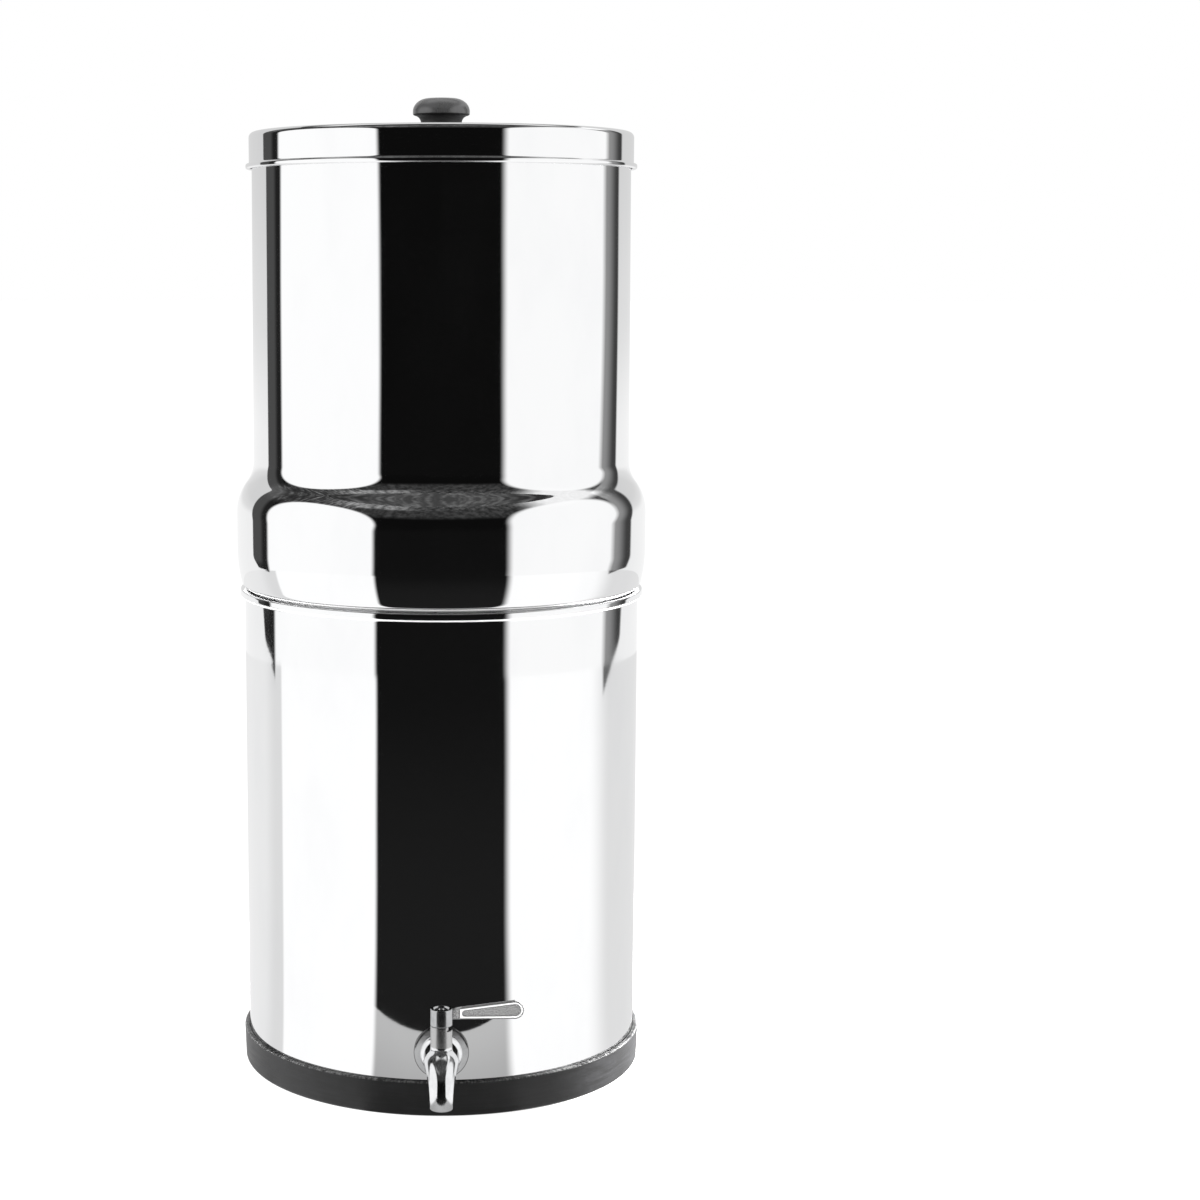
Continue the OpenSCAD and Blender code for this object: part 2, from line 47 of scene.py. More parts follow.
mm = 0.001


def top(node):
    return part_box(node)[1] / mm


def bottom(node):
    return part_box(node)[0] / mm


class Wire:
    # one output socket, so that sums on it read as plain Python
    def __init__(self, board, socket):
        self.board = board
        self.socket = socket

    def other(self, name):  # another output of the same node
        return Wire(self.board, self.socket.node.outputs[name])

    def maths(self, operation, *others):
        return self.board.make("ShaderNodeMath", {"operation": operation}, (self,) + others)

    def __add__(self, other):
        return self.maths("ADD", other)

    def __sub__(self, other):
        return self.maths("SUBTRACT", other)

    def __mul__(self, other):
        return self.maths("MULTIPLY", other)

    def __truediv__(self, other):
        return self.maths("DIVIDE", other)

    def __neg__(self):
        return self.maths("MULTIPLY", -1.0)

    def __rsub__(self, other):
        return self.board.make("ShaderNodeMath", {"operation": "SUBTRACT"}, (other, self))

    def __rtruediv__(self, other):
        return self.board.make("ShaderNodeMath", {"operation": "DIVIDE"}, (other, self))

    __radd__ = __add__
    __rmul__ = __mul__

    def root(self):
        return self.maths("SQRT")

    def size(self):
        return self.maths("ABSOLUTE")

    def least(self, other):
        return self.maths("MINIMUM", other)

    def most(self, other):
        return self.maths("MAXIMUM", other)

    def blend(self, other, width):  # union with a rounded inner corner
        return self.maths("SMOOTH_MIN", other, width)

    def trim(self, other, width):  # the part inside both shapes, with a rounded edge
        return self.maths("SMOOTH_MAX", other, width)

    def carve(self, other, width):  # takes the other shape out, with a rounded edge
        return self.trim(-other, width)

    def spread(self, low, high, toLow=0.0, toHigh=1.0):  # smooth step between two values
        sockets = {"Value": self, "From Min": low, "From Max": high, "To Min": toLow, "To Max": toHigh}
        return self.board.make("ShaderNodeMapRange", {"interpolation_type": "SMOOTHSTEP"}, sockets)

    def within(self, low, high, soft):  # 1 between two values, with feathered edges
        return self.spread(low - soft, low + soft) * (1.0 - self.spread(high - soft, high + soft))


def across(first, second):  # length of a two-part distance
    return (first * first + second * second).root()


def grey(value):
    return (value, value, value, 1)


class Board:
    # a node tree that is filled by one method
    def __init__(self, tree):
        self.tree = tree
        tree.nodes.clear()

    def make(self, kind, settings=None, sockets=(), out=0):
        node = self.tree.nodes.new(kind)
        for key, value in (settings or {}).items():
            setattr(node, key, value)
        live = [socket for socket in node.inputs if socket.enabled]
        pairs = sockets.items() if isinstance(sockets, dict) else enumerate(sockets)
        for key, value in pairs:
            socket = live[key] if isinstance(key, int) else next(s for s in live if s.name == key)
            if isinstance(value, Wire):
                self.tree.links.new(value.socket, socket)
            else:
                socket.default_value = value
        outputs = [socket for socket in node.outputs if socket.enabled]
        if not outputs:
            return None
        return Wire(self, outputs[out] if isinstance(out, int) else node.outputs[out])

    def place(self):  # a point's own place, in metres
        return self.make("ShaderNodeTexCoord", out="Object")

    def axes(self, vector):
        split = self.make("ShaderNodeSeparateXYZ", {}, (vector,))
        return split, split.other("Y"), split.other("Z")

    def vector(self, x, y, z):
        return self.make("ShaderNodeCombineXYZ", {}, (x, y, z))

    def noise(self, place, scale, detail=2.0, roughness=0.5):
        sockets = {"Vector": place, "Scale": scale, "Detail": detail, "Roughness": roughness}
        return self.make("ShaderNodeTexNoise", {}, sockets)

    def mix(self, factor, first, second):  # of two colours
        settings = {"data_type": "RGBA"}
        return self.make("ShaderNodeMix", settings, {"Factor": factor, "A": first, "B": second})

    def bump(self, height, distance, normal=None, strength=1.0):
        sockets = {"Strength": strength, "Distance": distance, "Height": height}
        if normal:
            sockets["Normal"] = normal
        return self.make("ShaderNodeBump", {}, sockets)

    def glow(self, strength):
        return self.make("ShaderNodeEmission", {}, {"Color": grey(1.0), "Strength": strength})

    def surface(self, tint, roughness, **others):
        sockets = {"Base Color": tint, "Roughness": roughness, **others}
        return self.make("ShaderNodeBsdfPrincipled", {}, sockets)


def newMaterial(name, finish):
    material = bpy.data.materials.new(name)
    material.use_nodes = True
    board = Board(material.node_tree)
    surface = finish(board)
    board.make("ShaderNodeOutputMaterial", {}, {"Surface": surface})
    return material


camera = {
    "lens": 72.0,
    "sensor": 36.0,  # square
    "place": (0.0, -1.460, 0.491),
    "pitch": 82.0,  # degrees up from straight down
    "shift": 0.1322,  # the vessel stands left of the middle of the picture
}


def placeCamera():
    data = bpy.data.cameras.new("camera")
    data.lens = camera["lens"]
    data.sensor_width = data.sensor_height = camera["sensor"]
    data.sensor_fit = "AUTO"
    data.shift_x = camera["shift"]
    data.clip_start = 0.01
    data.clip_end = 50.0
    eye = bpy.data.objects.new("camera", data)
    eye.location = camera["place"]
    eye.rotation_euler = (radians(camera["pitch"]), 0, 0)
    bpy.context.scene.collection.objects.link(eye)
    bpy.context.scene.camera = eye
    bpy.context.scene.view_settings.view_transform = "Standard"


placeCamera()


studio = {
    "wallR": 1.6,  # round wall of light panels
    "wallTop": 2.05,
    "topLeft": 1.43,  # above the panels the wall is unlit
    "topRight": 1.58,
    "corner": 1.0,  # each panel's upper end is an arch
    "frontLeft": 35.4,  # degrees from the front to the panels
    "frontRight": 36.2,
    "frontFlare": 1.4,  # the left panel's edge leans outwards near the floor
    "stripeLeft": (109.3, 127.2),  # unlit gaps between the panels and the backdrop
    "stripeRight": (112.0, 131.0),
    "leanLeft": (0.3, 1.2),  # how far a gap's edges lean towards the front lower down
    "leanRight": (7.5, 4.5),
    "slant": 6.0,  # a gap narrows towards the floor
    "pointed": 11.0,  # and ends in a point there
    "softLeft": 0.5,  # half widths, in degrees, of the feathered edges of the gaps
    "softRight": 1.5,
    "panelSoft": (1.5, 2.8),  # the same for the panels, left and right
    "panel": 1.13,
    "rightPanel": 0.97,  # the right panel's share of that
    "backdrop": 0.97,
    "beamsZ": (0.85, 1.15),  # roof beams show above this height
    "aisle": (37.3, 37.7),  # degrees from the front to the edges of the unlit floor, left and right
    "aisleOffset": 0.038,  # an edge on the floor runs past the vessel's axis at this distance
    "greyOffset": 0.0946,
    "greyBack": 0.09,  # the left floor is as grey as the right one at the back
    "floorStripes": (4.6, 9.0),  # degrees, left and right
    "tableEdge": -0.269,  # front edge of the pale table that the vessel stands on
    "paper": 1.15,
    "ambient": 0.72,
}


def fromFront(x, y):  # degrees round from the front, to the right
    return x.maths("ARCTAN2", y * -1.0) * (180.0 / pi)


def bearing(away, reach, offset):  # the same along a floor line that the steel shows as upright
    return away + (offset / reach.most(offset + 0.001)).maths("ARCSINE") * (180.0 / pi)


def panelGate(away, z, side, front, back, top, soft):  # a light panel with an arched upper end
    metres = studio["wallR"] * pi / 180.0
    corner = studio["corner"]
    aside = (front - away).most(away - back) * metres
    outside = across((aside + corner).most(0.0), (z - top + corner).most(0.0)) - corner
    return (1.0 - outside.spread(-soft * metres, soft * metres)) * side


def roofLight(board, turn, z, left, right, behind):  # faint beams and lamps above the panels
    away = turn.size()
    streaks = board.noise(board.vector(turn * 0.28, z * 4.0, 0.0), 1.0, 4.0, 0.65)
    glints = board.noise(board.vector(turn * 0.5, z * 1.6, 4.0), 1.0, 3.0, 0.6)
    beams = streaks.spread(0.35, 0.7, 0.02, 0.07)
    beams = beams + streaks.spread(0.5, 0.72, 0.0, 0.1) * away.spread(45.0, 70.0)
    beams = beams + glints.spread(0.5, 0.7) * away.within(48.0, 96.0, 9.0) * left * 0.22
    lamp = away.spread(46.0, 76.0) * right * z.spread(1.2, 1.5)
    middle = z.spread(1.56, 1.76) * (1.0 - away.spread(40.0, 90.0))
    middle = middle * streaks.spread(0.35, 0.72, 0.0, 0.05)
    crown = z.spread(1.5, 1.7) * away.within(22.0, 70.0, 12.0) * left
    crown = crown * streaks.spread(0.3, 0.7, 0.05, 0.3)
    foot = (1.0 - z.spread(0.0, 0.4)) * 0.0025
    upper = z.spread(*studio["beamsZ"]) * (1.0 - behind)
    return 0.004 + foot + (middle + crown) + upper * (beams + lamp * 0.95)


def wallFinish(board):
    s = studio
    x, y, z = board.axes(board.place())
    turn = fromFront(x, y)
    away = turn.size()
    right = turn.spread(-1.0, 1.0)
    left = 1.0 - right
    low = 1.0 - z.spread(-0.05, 0.5)
    point = (1.0 - z.spread(-0.012, 0.035)) * s["pointed"]
    slant = (1.0 - z.spread(0.0, 0.15)) * s["slant"]
    frontLeft = low * s["frontFlare"] + s["frontLeft"]
    leftFrom = low * -s["leanLeft"][0] + s["stripeLeft"][0]
    leftTo = low * -s["leanLeft"][1] + s["stripeLeft"][1] - point - slant
    rightFrom = low * -s["leanRight"][0] + s["stripeRight"][0]
    rightTo = low * -s["leanRight"][1] + s["stripeRight"][1] - point - slant * 0.6
    gateLeft, gateRight = s["panelSoft"]
    panels = panelGate(away, z, left, frontLeft, leftFrom, s["topLeft"], gateLeft)
    rightPanel = panelGate(away, z, right, s["frontRight"], rightFrom, s["topRight"], gateRight)
    panels = panels + rightPanel * s["rightPanel"]
    softLeft, softRight = s["softLeft"], s["softRight"]
    behind = (away - leftTo).spread(-softLeft, softLeft) * left
    behind = behind + (away - rightTo).spread(-softRight, softRight) * right
    fade = z.spread(0.28, 0.44, 0.0, 0.17) + z.spread(0.4, 0.65, 0.0, 0.08)
    insideLeft = (away - leftFrom).spread(-softLeft, softLeft) * (1.0 - behind) * left
    insideRight = (away - rightFrom).spread(-softRight, softRight) * (1.0 - behind) * right
    paleLeft = 0.012 + (away - leftFrom).spread(4.0, 9.0, 0.0, 0.06) * z.spread(0.03, 0.12)
    paleRight = (away - rightFrom).spread(3.0, 16.0, 0.3, 0.05)
    stripes = insideLeft * paleLeft + insideRight * paleRight
    lit = panels * s["panel"] + behind * (s["backdrop"] - fade) + stripes
    return board.glow(lit + roofLight(board, turn, z, left, right, behind) * (1.0 - panels))


def ceilingFinish(board):
    x, y, z = board.axes(board.place())
    reach = across(x, y)
    streaks = board.noise(board.vector(x * 2.2, y * 0.6, 0.0), 3.0, 3.0, 0.6)
    rafters = streaks.spread(0.4, 0.75, 0.03, 0.16)
    card = y.spread(-0.15, 0.25) * (1.0 - reach.spread(0.9, 1.5))  # a white card over the back
    ahead = (y * -1.0).spread(0.3, 1.0, 0.0, 0.03)
    return board.glow((rafters + ahead) * (1.0 - card) + card * 0.85)


def floorSides(away, reach, right):  # pale grey, with the dark gaps of the wall running on
    s = studio
    toSide = bearing(away, reach, s["greyOffset"])
    greyLeft = toSide.spread(105.2, 107.4, 0.0, 0.34) - toSide.spread(112.0, 126.0, 0.0, 0.11)
    greyLeft = greyLeft + away.spread(140.0, 180.0, 0.0, s["greyBack"])
    greyRight = toSide.spread(95.0, 116.0, 0.0, 0.32)
    wide = greyLeft * (1.0 - right) + greyRight * right
    fromLeft = s["stripeLeft"][0] - s["leanLeft"][0]
    fromRight = s["stripeRight"][0] - s["leanRight"][0]
    stripeLeft = away.within(fromLeft, fromLeft + s["floorStripes"][0], 0.6)
    stripeRight = away.within(fromRight, fromRight + s["floorStripes"][1], 1.5)
    wedge = (reach - 1.5 - (away - fromLeft) * 0.02).spread(-0.02, 0.02)
    stripes = (stripeLeft * (1.0 - right) * 0.95 + stripeRight * right * 0.85) * wedge
    return (s["paper"] - wide) * (1.0 - stripes)


def floorFinish(board):
    x, y, z = board.axes(board.place())
    turn = fromFront(x, y)
    away = turn.size()
    right = turn.spread(-1.0, 1.0)
    reach = across(x, y)
    toAisle = bearing(away, reach, studio["aisleOffset"])
    leftEdge, rightEdge = [0.3 / reach.most(0.1) + edge for edge in studio["aisle"]]
    aisleLeft = 1.0 - (toAisle - leftEdge).spread(-1.3, 1.3)
    aisleRight = 1.0 - (toAisle - rightEdge).spread(-2.4, 2.8)
    aisle = aisleLeft * (1.0 - right) + aisleRight * right
    edge = studio["tableEdge"]
    table = y.spread(edge - 0.0015, edge + 0.0015)
    nearFoot = y.spread(edge, -0.12, 0.56, 0.44)
    sides = floorSides(away, reach, right)
    middle = table * nearFoot + (1.0 - table) * reach.spread(0.4, 1.6, 0.013, 0.0065)
    seen = sides + (middle - sides) * aisle
    glossy = board.make("ShaderNodeLightPath").other("Is Glossy Ray")
    paper = board.make("ShaderNodeBsdfDiffuse", {}, {"Color": grey(0.96)})
    pale = board.make("ShaderNodeMixShader", {}, (0.22, board.glow(studio["paper"]), paper))
    return board.make("ShaderNodeMixShader", {}, (glossy, pale, board.glow(seen)))


def newPiece(name, corners, faces, material):
    mesh = bpy.data.meshes.new(name)
    mesh.from_pydata(corners, [], faces)
    mesh.materials.append(material)
    piece = bpy.data.objects.new(name, mesh)
    bpy.context.scene.collection.objects.link(piece)
    return piece


def circle(radius, height, count):
    turns = np.linspace(0, 2 * pi, count + 1)[:-1]
    return [(radius * cos(a), radius * sin(a), height) for a in turns]


def flatDisc(name, radius, height, material, count=96):
    return newPiece(name, circle(radius, height, count), [range(count)], material)


def roundWall(name, radius, height, material, count=180):
    corners = circle(radius, 0.0, count) + circle(radius, height, count)
    faces = [(i, i + count, (i + 1) % count + count, (i + 1) % count) for i in range(count)]
    return newPiece(name, corners, faces, material)


def buildWorld():
    world = bpy.data.worlds.new("world")
    bpy.context.scene.world = world
    world.use_nodes = True
    board = Board(world.node_tree)
    path = board.make("ShaderNodeLightPath")
    seen = path.most(path.other("Is Glossy Ray")).most(path.other("Is Transmission Ray"))
    strength = seen.spread(0.0, 1.0, studio["ambient"], 1.0)
    sky = board.make("ShaderNodeBackground", {}, {"Color": grey(1.0), "Strength": strength})
    board.make("ShaderNodeOutputWorld", {}, {"Surface": sky})


def buildStudio():
    radius, height = studio["wallR"], studio["wallTop"]
    wall = roundWall("lightWall", radius, height, newMaterial("lightWall", wallFinish))
    ceiling = flatDisc("ceiling", radius, height, newMaterial("ceiling", ceilingFinish))
    floor = flatDisc("floor", 30.0, 0.0, newMaterial("paleFloor", floorFinish))
    for card in (wall, ceiling):  # only the steel and the gloss of the plastics see them
        for ray in ("camera", "diffuse", "shadow", "transmission"):
            setattr(card, "visible_" + ray, False)
    buildWorld()


lamps = {  # place, aim, size, watts and degrees of spread
    "leftSoftbox": ((-1.3, -0.7, 1.0), (0, 0, 0.3), (0.8, 1.4), 5.0, 180.0),
    "rightSoftbox": ((1.3, -0.7, 1.1), (0, 0, 0.3), (0.8, 1.4), 8.0, 180.0),
    "topSoftbox": ((0.0, 0.1, 1.9), (0, 0, 0.3), (1.2, 1.2), 7.0, 180.0),
    "leftFootLight": ((-1.15, 0.22, 0.16), (-0.05, 0, 0.01), (0.3, 0.2), 4.5, 36.0),
    "rightFootLight": ((1.03, 0.6, 0.16), (0.05, 0, 0.01), (0.3, 0.2), 44.0, 36.0),
}


def addLamp(name, place, target, size, power, spread):
    data = bpy.data.lights.new(name, "AREA")
    data.shape = "RECTANGLE"
    data.size, data.size_y = size
    data.energy = power
    data.spread = radians(spread)
    lamp = bpy.data.objects.new(name, data)
    lamp.location = place
    aim = Vector(target) - Vector(place)
    lamp.rotation_euler = aim.to_track_quat("-Z", "Y").to_euler()
    lamp.visible_glossy = False
    bpy.context.scene.collection.objects.link(lamp)


buildStudio()
for name, facts in lamps.items():
    addLamp(name, *facts)
print("studio ready")


polish = {
    "pale": (0.87, 0.872, 0.876, 1),
    "deep": (0.845, 0.848, 0.855, 1),
    "roughness": 0.025,
    "satin": 0.24,  # added to the roughness inside
    "upperHighlight": (0.75, 2.3),  # heights over the seam of the two edges that get a painted highlight
    "lowerHighlight": (-4.9, -3.7),
}


def turnedPlace(board, place):  # radius, turn and height round the vessel's own axis
    x, y, z = board.axes(place)
    return across(x, y), x.maths("ARCTAN2", y), z


def mirrorSteel(board):
    place = board.place()
    radius, turn, z = turnedPlace(board, place)
    swell = board.noise(place, 14.0, 1.0, 0.4)
    rub = board.noise(board.vector(radius * 900.0, turn * 1.5, z * 900.0), 1.0, 3.0, 0.6)
    smear = board.noise(board.vector(radius * 30.0, turn * 3.0, z * 12.0), 1.0, 3.0, 0.55)
    roughness = polish["roughness"] + smear.spread(0.35, 0.8, 0.0, 0.03)
    roughness = roughness + rub.spread(0.5, 0.9, 0.0, 0.02)
    normal = board.bump(rub, 0.0000012, board.bump(swell, 0.00012))
    tint = board.mix(smear.spread(0.4, 0.75), polish["pale"], polish["deep"])
    height = z / mm - top("lower_chamber").z
    # painted highlight: two thin bands by the seam are made near-white and less metallic, so they show
    # as bright lines
    edges = height.within(*polish["upperHighlight"], 0.2) + height.within(*polish["lowerHighlight"], 0.2)
    edges = edges * (radius / mm - vessel["bodyR"]).spread(-1.3, -1.0)
    tint = board.mix(edges, tint, grey(0.98))
    inside = board.make("ShaderNodeAttribute", {"attribute_name": "inside"}, out="Fac")
    metallic = 1.0 - edges * 0.85 - inside * 0.3
    return board.surface(tint, roughness + inside * polish["satin"], Metallic=metallic, Normal=normal)


def rubberFinish(board):
    place = board.place()
    radius, turn, z = turnedPlace(board, place)
    grain = board.noise(place, 3800.0, 2.0, 0.6)
    brushed = board.noise(board.vector(turn * 5.0, radius * 300.0, z * 900.0), 1.0, 4.0, 0.7)
    dust = board.noise(place, 70.0, 5.0, 0.75).spread(0.45, 0.8)
    cloud = dust * 0.4 + brushed.spread(0.38, 0.72) * 0.6
    shade = board.mix(cloud, grey(0.004), (0.0105, 0.0105, 0.0112, 1))
    specks = board.noise(board.vector(turn * 110.0, radius * 300.0, 0.0), 1.0, 3.0, 0.7)
    # painted highlight: pale specks along the top edge stand in for the edge catching the light, with
    # none towards the back
    edgeHighlight = (z / mm).spread(*baseRing["edgeHighlightZ"]) * specks.spread(0.42, 0.62)
    edgeHighlight = edgeHighlight * turn.maths("COSINE").spread(0.2, 0.8, 1.0, -0.9)
    shade = board.mix(edgeHighlight * 0.2, shade, grey(0.4))
    roughness = 0.46 + brushed.spread(0.3, 0.8, -0.08, 0.1)
    normal = board.bump(grain, 0.00002, board.bump(brushed, 0.00004))
    return board.surface(shade, roughness, Normal=normal, IOR=1.4)


def knobFinish(board):
    place = board.place()
    texture = board.noise(place, 2600.0, 2.0, 0.5)
    cloud = board.noise(place, 90.0, 3.0, 0.6).spread(0.35, 0.75)
    x, y, z = board.axes(place)
    height = z / mm - bottom("lid_knob").z
    neck = 1.0 - height.spread(*knob["capShadeZ"])  # painted shade below the cap, and a painted black shadow in the gap
    gap = neck * height.spread(*knob["gapShadowZ"])
    shade = board.mix(cloud, grey(0.078), (0.094, 0.094, 0.096, 1))
    shade = board.mix(gap, board.mix(neck, shade, grey(0.016)), grey(0.001))
    roughness = 0.27 + cloud * 0.05 + neck * 0.3
    return board.surface(shade, roughness, Normal=board.bump(texture, 0.00001), IOR=1.75)


def castSteel(board):
    place = board.place()
    ripple = board.noise(place, 420.0, 2.0, 0.5)
    haze = board.noise(place, 160.0, 3.0, 0.6)
    tint = board.mix(haze.spread(0.35, 0.7), (0.8, 0.805, 0.815, 1), (0.74, 0.745, 0.755, 1))
    x, y, z = [value / mm for value in board.axes(place)]
    machined = z.spread(*tap["machinedZ"])  # the housing and its machined faces are less bright
    tint = board.mix(machined, tint, grey(0.47))
    # painted shade: the flange's outer edge is painted dark grey
    rim = across(x, z - tap["axisZ"]).spread(tap["flangeR"] - 0.5, tap["flangeR"] - 0.3)
    rim = rim * (y + tap["flangeA"]).spread(-5.0, -4.0)
    tint = board.mix(rim, tint, grey(0.16))
    roughness = haze.spread(0.3, 0.8, 0.08, 0.15) + machined * 0.14
    return board.surface(tint, roughness, Metallic=1.0, Normal=board.bump(ripple, 0.00001))


def leverSteel(board):  # polished rim with a painted highlight, blasted panel and neck
    place = board.place()
    x, y, z = [value / mm for value in board.axes(place)]
    fromPanel = panelDistance(x, z)
    blade = x.spread(6.4, 6.8)
    panel = 1.0 - fromPanel.spread(-0.12, 0.06)
    border = 1.0 - (fromPanel - lever["rim"]).spread(-0.1, 0.1)
    blasted = blade * (panel + (1.0 - border) * (1.0 - x.spread(9.5, 12.5)))
    outer = bladeDistance(x, z).spread(-0.85, -0.5)
    groove = fromPanel.spread(-0.6, -0.3) * (1.0 - fromPanel.spread(-0.05, 0.15))
    shaded = blade * outer.most(groove * 0.8)
    border = border * (x - lever["panelFrom"]).spread(-1.3, -1.0)
    rim = blade * border * (1.0 - panel) * (1.0 - outer)
    grain = board.noise(place, 1900.0, 2.0, 0.6)
    haze = board.noise(place, 160.0, 3.0, 0.6)
    normal = board.bump(grain, 0.00004, strength=blasted * 0.8 + 0.06)
    plain = board.mix(haze.spread(0.35, 0.7), (0.48, 0.485, 0.49, 1), (0.42, 0.425, 0.43, 1))
    speckled = board.mix(grain.spread(0.4, 0.6), grey(0.2), grey(0.62))
    # painted highlight: the rim is near-white and barely metallic, so it reads as a bright line
    tint = board.mix(rim, board.mix(blasted, plain, speckled), grey(0.99))
    tint = board.mix(shaded, tint, grey(0.17))
    metallic = 1.0 - blasted * 0.5 - rim * 0.92 - blade * outer * 0.6
    roughness = haze.spread(0.3, 0.8, 0.16, 0.24) + blasted * 0.3
    return board.surface(tint, roughness, Metallic=metallic, Normal=normal)


def turnedSteel(board):  # lathe-turned or pressed small parts
    place = board.place()
    ripple = board.noise(place, 900.0, 2.0, 0.5)
    haze = board.noise(place, 220.0, 3.0, 0.6)
    tint = board.mix(haze.spread(0.35, 0.7), (0.72, 0.725, 0.735, 1), (0.62, 0.625, 0.635, 1))
    roughness = haze.spread(0.3, 0.8, 0.2, 0.32)
    return board.surface(tint, roughness, Metallic=1.0, Normal=board.bump(ripple, 0.000008))


def sealFinish(board):
    place = board.place()
    grain = board.noise(place, 2600.0, 2.0, 0.6)
    bloom = board.noise(place, 140.0, 4.0, 0.7).spread(0.4, 0.8)
    shade = board.mix(bloom * 0.6, grey(0.013), (0.034, 0.034, 0.036, 1))
    return board.surface(shade, 0.5 + bloom * 0.16, Normal=board.bump(grain, 0.000015))


def carbonFinish(board):  # pressed carbon grains, with a few smoother facets that carry a painted glint
    place = board.place()
    grain = board.noise(place, 1500.0, 3.0, 0.7)
    lumps = board.noise(place, 420.0, 3.0, 0.6)
    cells = {"Vector": place, "Scale": 1100.0}
    glint = board.make("ShaderNodeTexVoronoi", {}, cells, "Color").spread(0.78, 0.92)
    drift = board.noise(place, 26.0, 4.0, 0.6).spread(0.35, 0.7)
    shade = board.mix(drift, grey(0.009), grey(0.017))
    shade = board.mix(glint * 0.6, shade, grey(0.05))
    return board.surface(shade, 0.86 - glint * 0.42, Normal=board.bump(grain + lumps * 0.6, 0.00022))


def mouldedFinish(board):  # semi-gloss plastic of the element bases and wing nuts
    place = board.place()
    skin = board.noise(place, 1900.0, 2.0, 0.5)
    flow = board.noise(place, 60.0, 4.0, 0.65).spread(0.35, 0.75)
    shade = board.mix(flow, (0.062, 0.063, 0.067, 1), (0.088, 0.089, 0.094, 1))
    return board.surface(shade, 0.27 + flow * 0.08, Normal=board.bump(skin, 0.000008), IOR=1.53)


def seatFinish(board):
    cloud = board.noise(board.place(), 300.0, 3.0, 0.6).spread(0.35, 0.75)
    shade = board.mix(cloud, (0.84, 0.84, 0.82, 1), (0.76, 0.76, 0.745, 1))
    return board.surface(shade, 0.42 + cloud * 0.08)


def arc(acrossAt, upAt, radius, start, stop, steps):
    turns = np.linspace(radians(start), radians(stop), steps + 1)
    return [(acrossAt + radius * cos(a), upAt + radius * sin(a)) for a in turns]


def closeRings(outline, edge=0.5, longest=12.0):  # extra rings beside the ends of long straight runs
    rings = []
    for (r0, z0), (r1, z1) in zip(outline, outline[1:] + outline[:1]):
        run = hypot(r1 - r0, z1 - z0)
        rings.append((r0, z0))
        if run < 4 * edge:
            continue
        middle = max(1, round(run / longest))
        shares = [edge / run] + [i / middle for i in range(1, middle)] + [1 - edge / run]
        rings += [(r0 + (r1 - r0) * s, z0 + (z1 - z0) * s) for s in shares]
    return rings


def tidyMesh(mesh):  # closes seams and poles
    shape = bmesh.new()
    shape.from_mesh(mesh)
    bmesh.ops.remove_doubles(shape, verts=shape.verts, dist=0.0000005)
    bmesh.ops.dissolve_degenerate(shape, edges=shape.edges, dist=0.0000005)
    loose = [edge for edge in shape.edges if not edge.link_faces]
    bmesh.ops.delete(shape, geom=loose, context="EDGES")
    bmesh.ops.recalc_face_normals(shape, faces=shape.faces)
    shape.to_mesh(mesh)
    shape.free()


def smoothFaces(mesh, sharp=32.0):
    mesh.polygons.foreach_set("use_smooth", [True] * len(mesh.polygons))
    mesh.set_sharp_from_angle(angle=radians(sharp))


def solidMesh(name, corners, faces, material):
    piece = newPiece(name, corners, faces, material)
    tidyMesh(piece.data)
    smoothFaces(piece.data)
    return piece


def ringCorners(centre, a, outline):
    return [((centre[0] + r * cos(a)) * mm, (centre[1] + r * sin(a)) * mm, z * mm) for r, z in outline]


def turned(name, outline, material, centre=(0.0, 0.0), segments=288):
    rings = closeRings(outline)
    count = len(rings)
    corners = []
    for i in range(segments):
        a = 2 * pi * i / segments
        corners += ringCorners(centre, a, rings)
    faces = []
    for i in range(segments):
        here, there = i * count, (i + 1) % segments * count
        for j in range(count):
            k = (j + 1) % count
            faces.append((here + j, there + j, there + k, here + k))
    return solidMesh(name, corners, faces, material)


def subtract(piece, cutter):
    modifier = piece.modifiers.new("cut", "BOOLEAN")
    modifier.operation = "DIFFERENCE"
    modifier.solver = "EXACT"
    modifier.object = cutter
    applyModifiers(piece)
    tidyMesh(piece.data)
    bpy.data.objects.remove(cutter)


def cutHoles(piece, holes, radius, low, high):
    outline = [(0, low), (radius, low), (radius, high), (0, high)]
    for hole in holes:
        subtract(piece, turned("cutter", outline, piece.data.materials[0], hole, 64))


def sectorBlock(centre, radii, heights, turn, sweep, material, steps=16):  # part of a ring, as a cutter
    corners = []
    for a in np.radians(np.linspace(turn, turn + sweep, steps + 1)):
        corners += ringCorners(centre, a, zip((*radii, *radii[::-1]), np.repeat(heights, 2)))
    faces = [(0, 1, 2, 3), tuple(4 * steps + i for i in (3, 2, 1, 0))]
    for i in range(steps):
        for j in range(4):
            here, there = 4 * i + j, 4 * i + (j + 1) % 4
            faces.append((here, there, there + 4, here + 4))
    return solidMesh("cutter", corners, faces, material)


def applyModifiers(piece):
    evaluated = piece.evaluated_get(bpy.context.evaluated_depsgraph_get())
    mesh = bpy.data.meshes.new_from_object(evaluated)
    piece.modifiers.clear()
    old = piece.data
    piece.data = mesh
    bpy.data.meshes.remove(old)


def settle(piece, body, slot, *nodes):  # hangs the piece on the body it rides on and hides the nodes it stands for
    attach(piece, body)
    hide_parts(*nodes)


baseRing = {
    "lipR": 102.0,
    "seatR": 120.05,
    "seatZ": 8.0,
    "edge": 1.0,
    "foot": 2.3,
    "flare": 0.6,
    "lipEdge": 0.5,
    "seatEdge": 0.3,
    "edgeHighlightZ": (19.8, 20.6),  # painted highlight in pale specks on the upper edge, where the edge catches the light
}


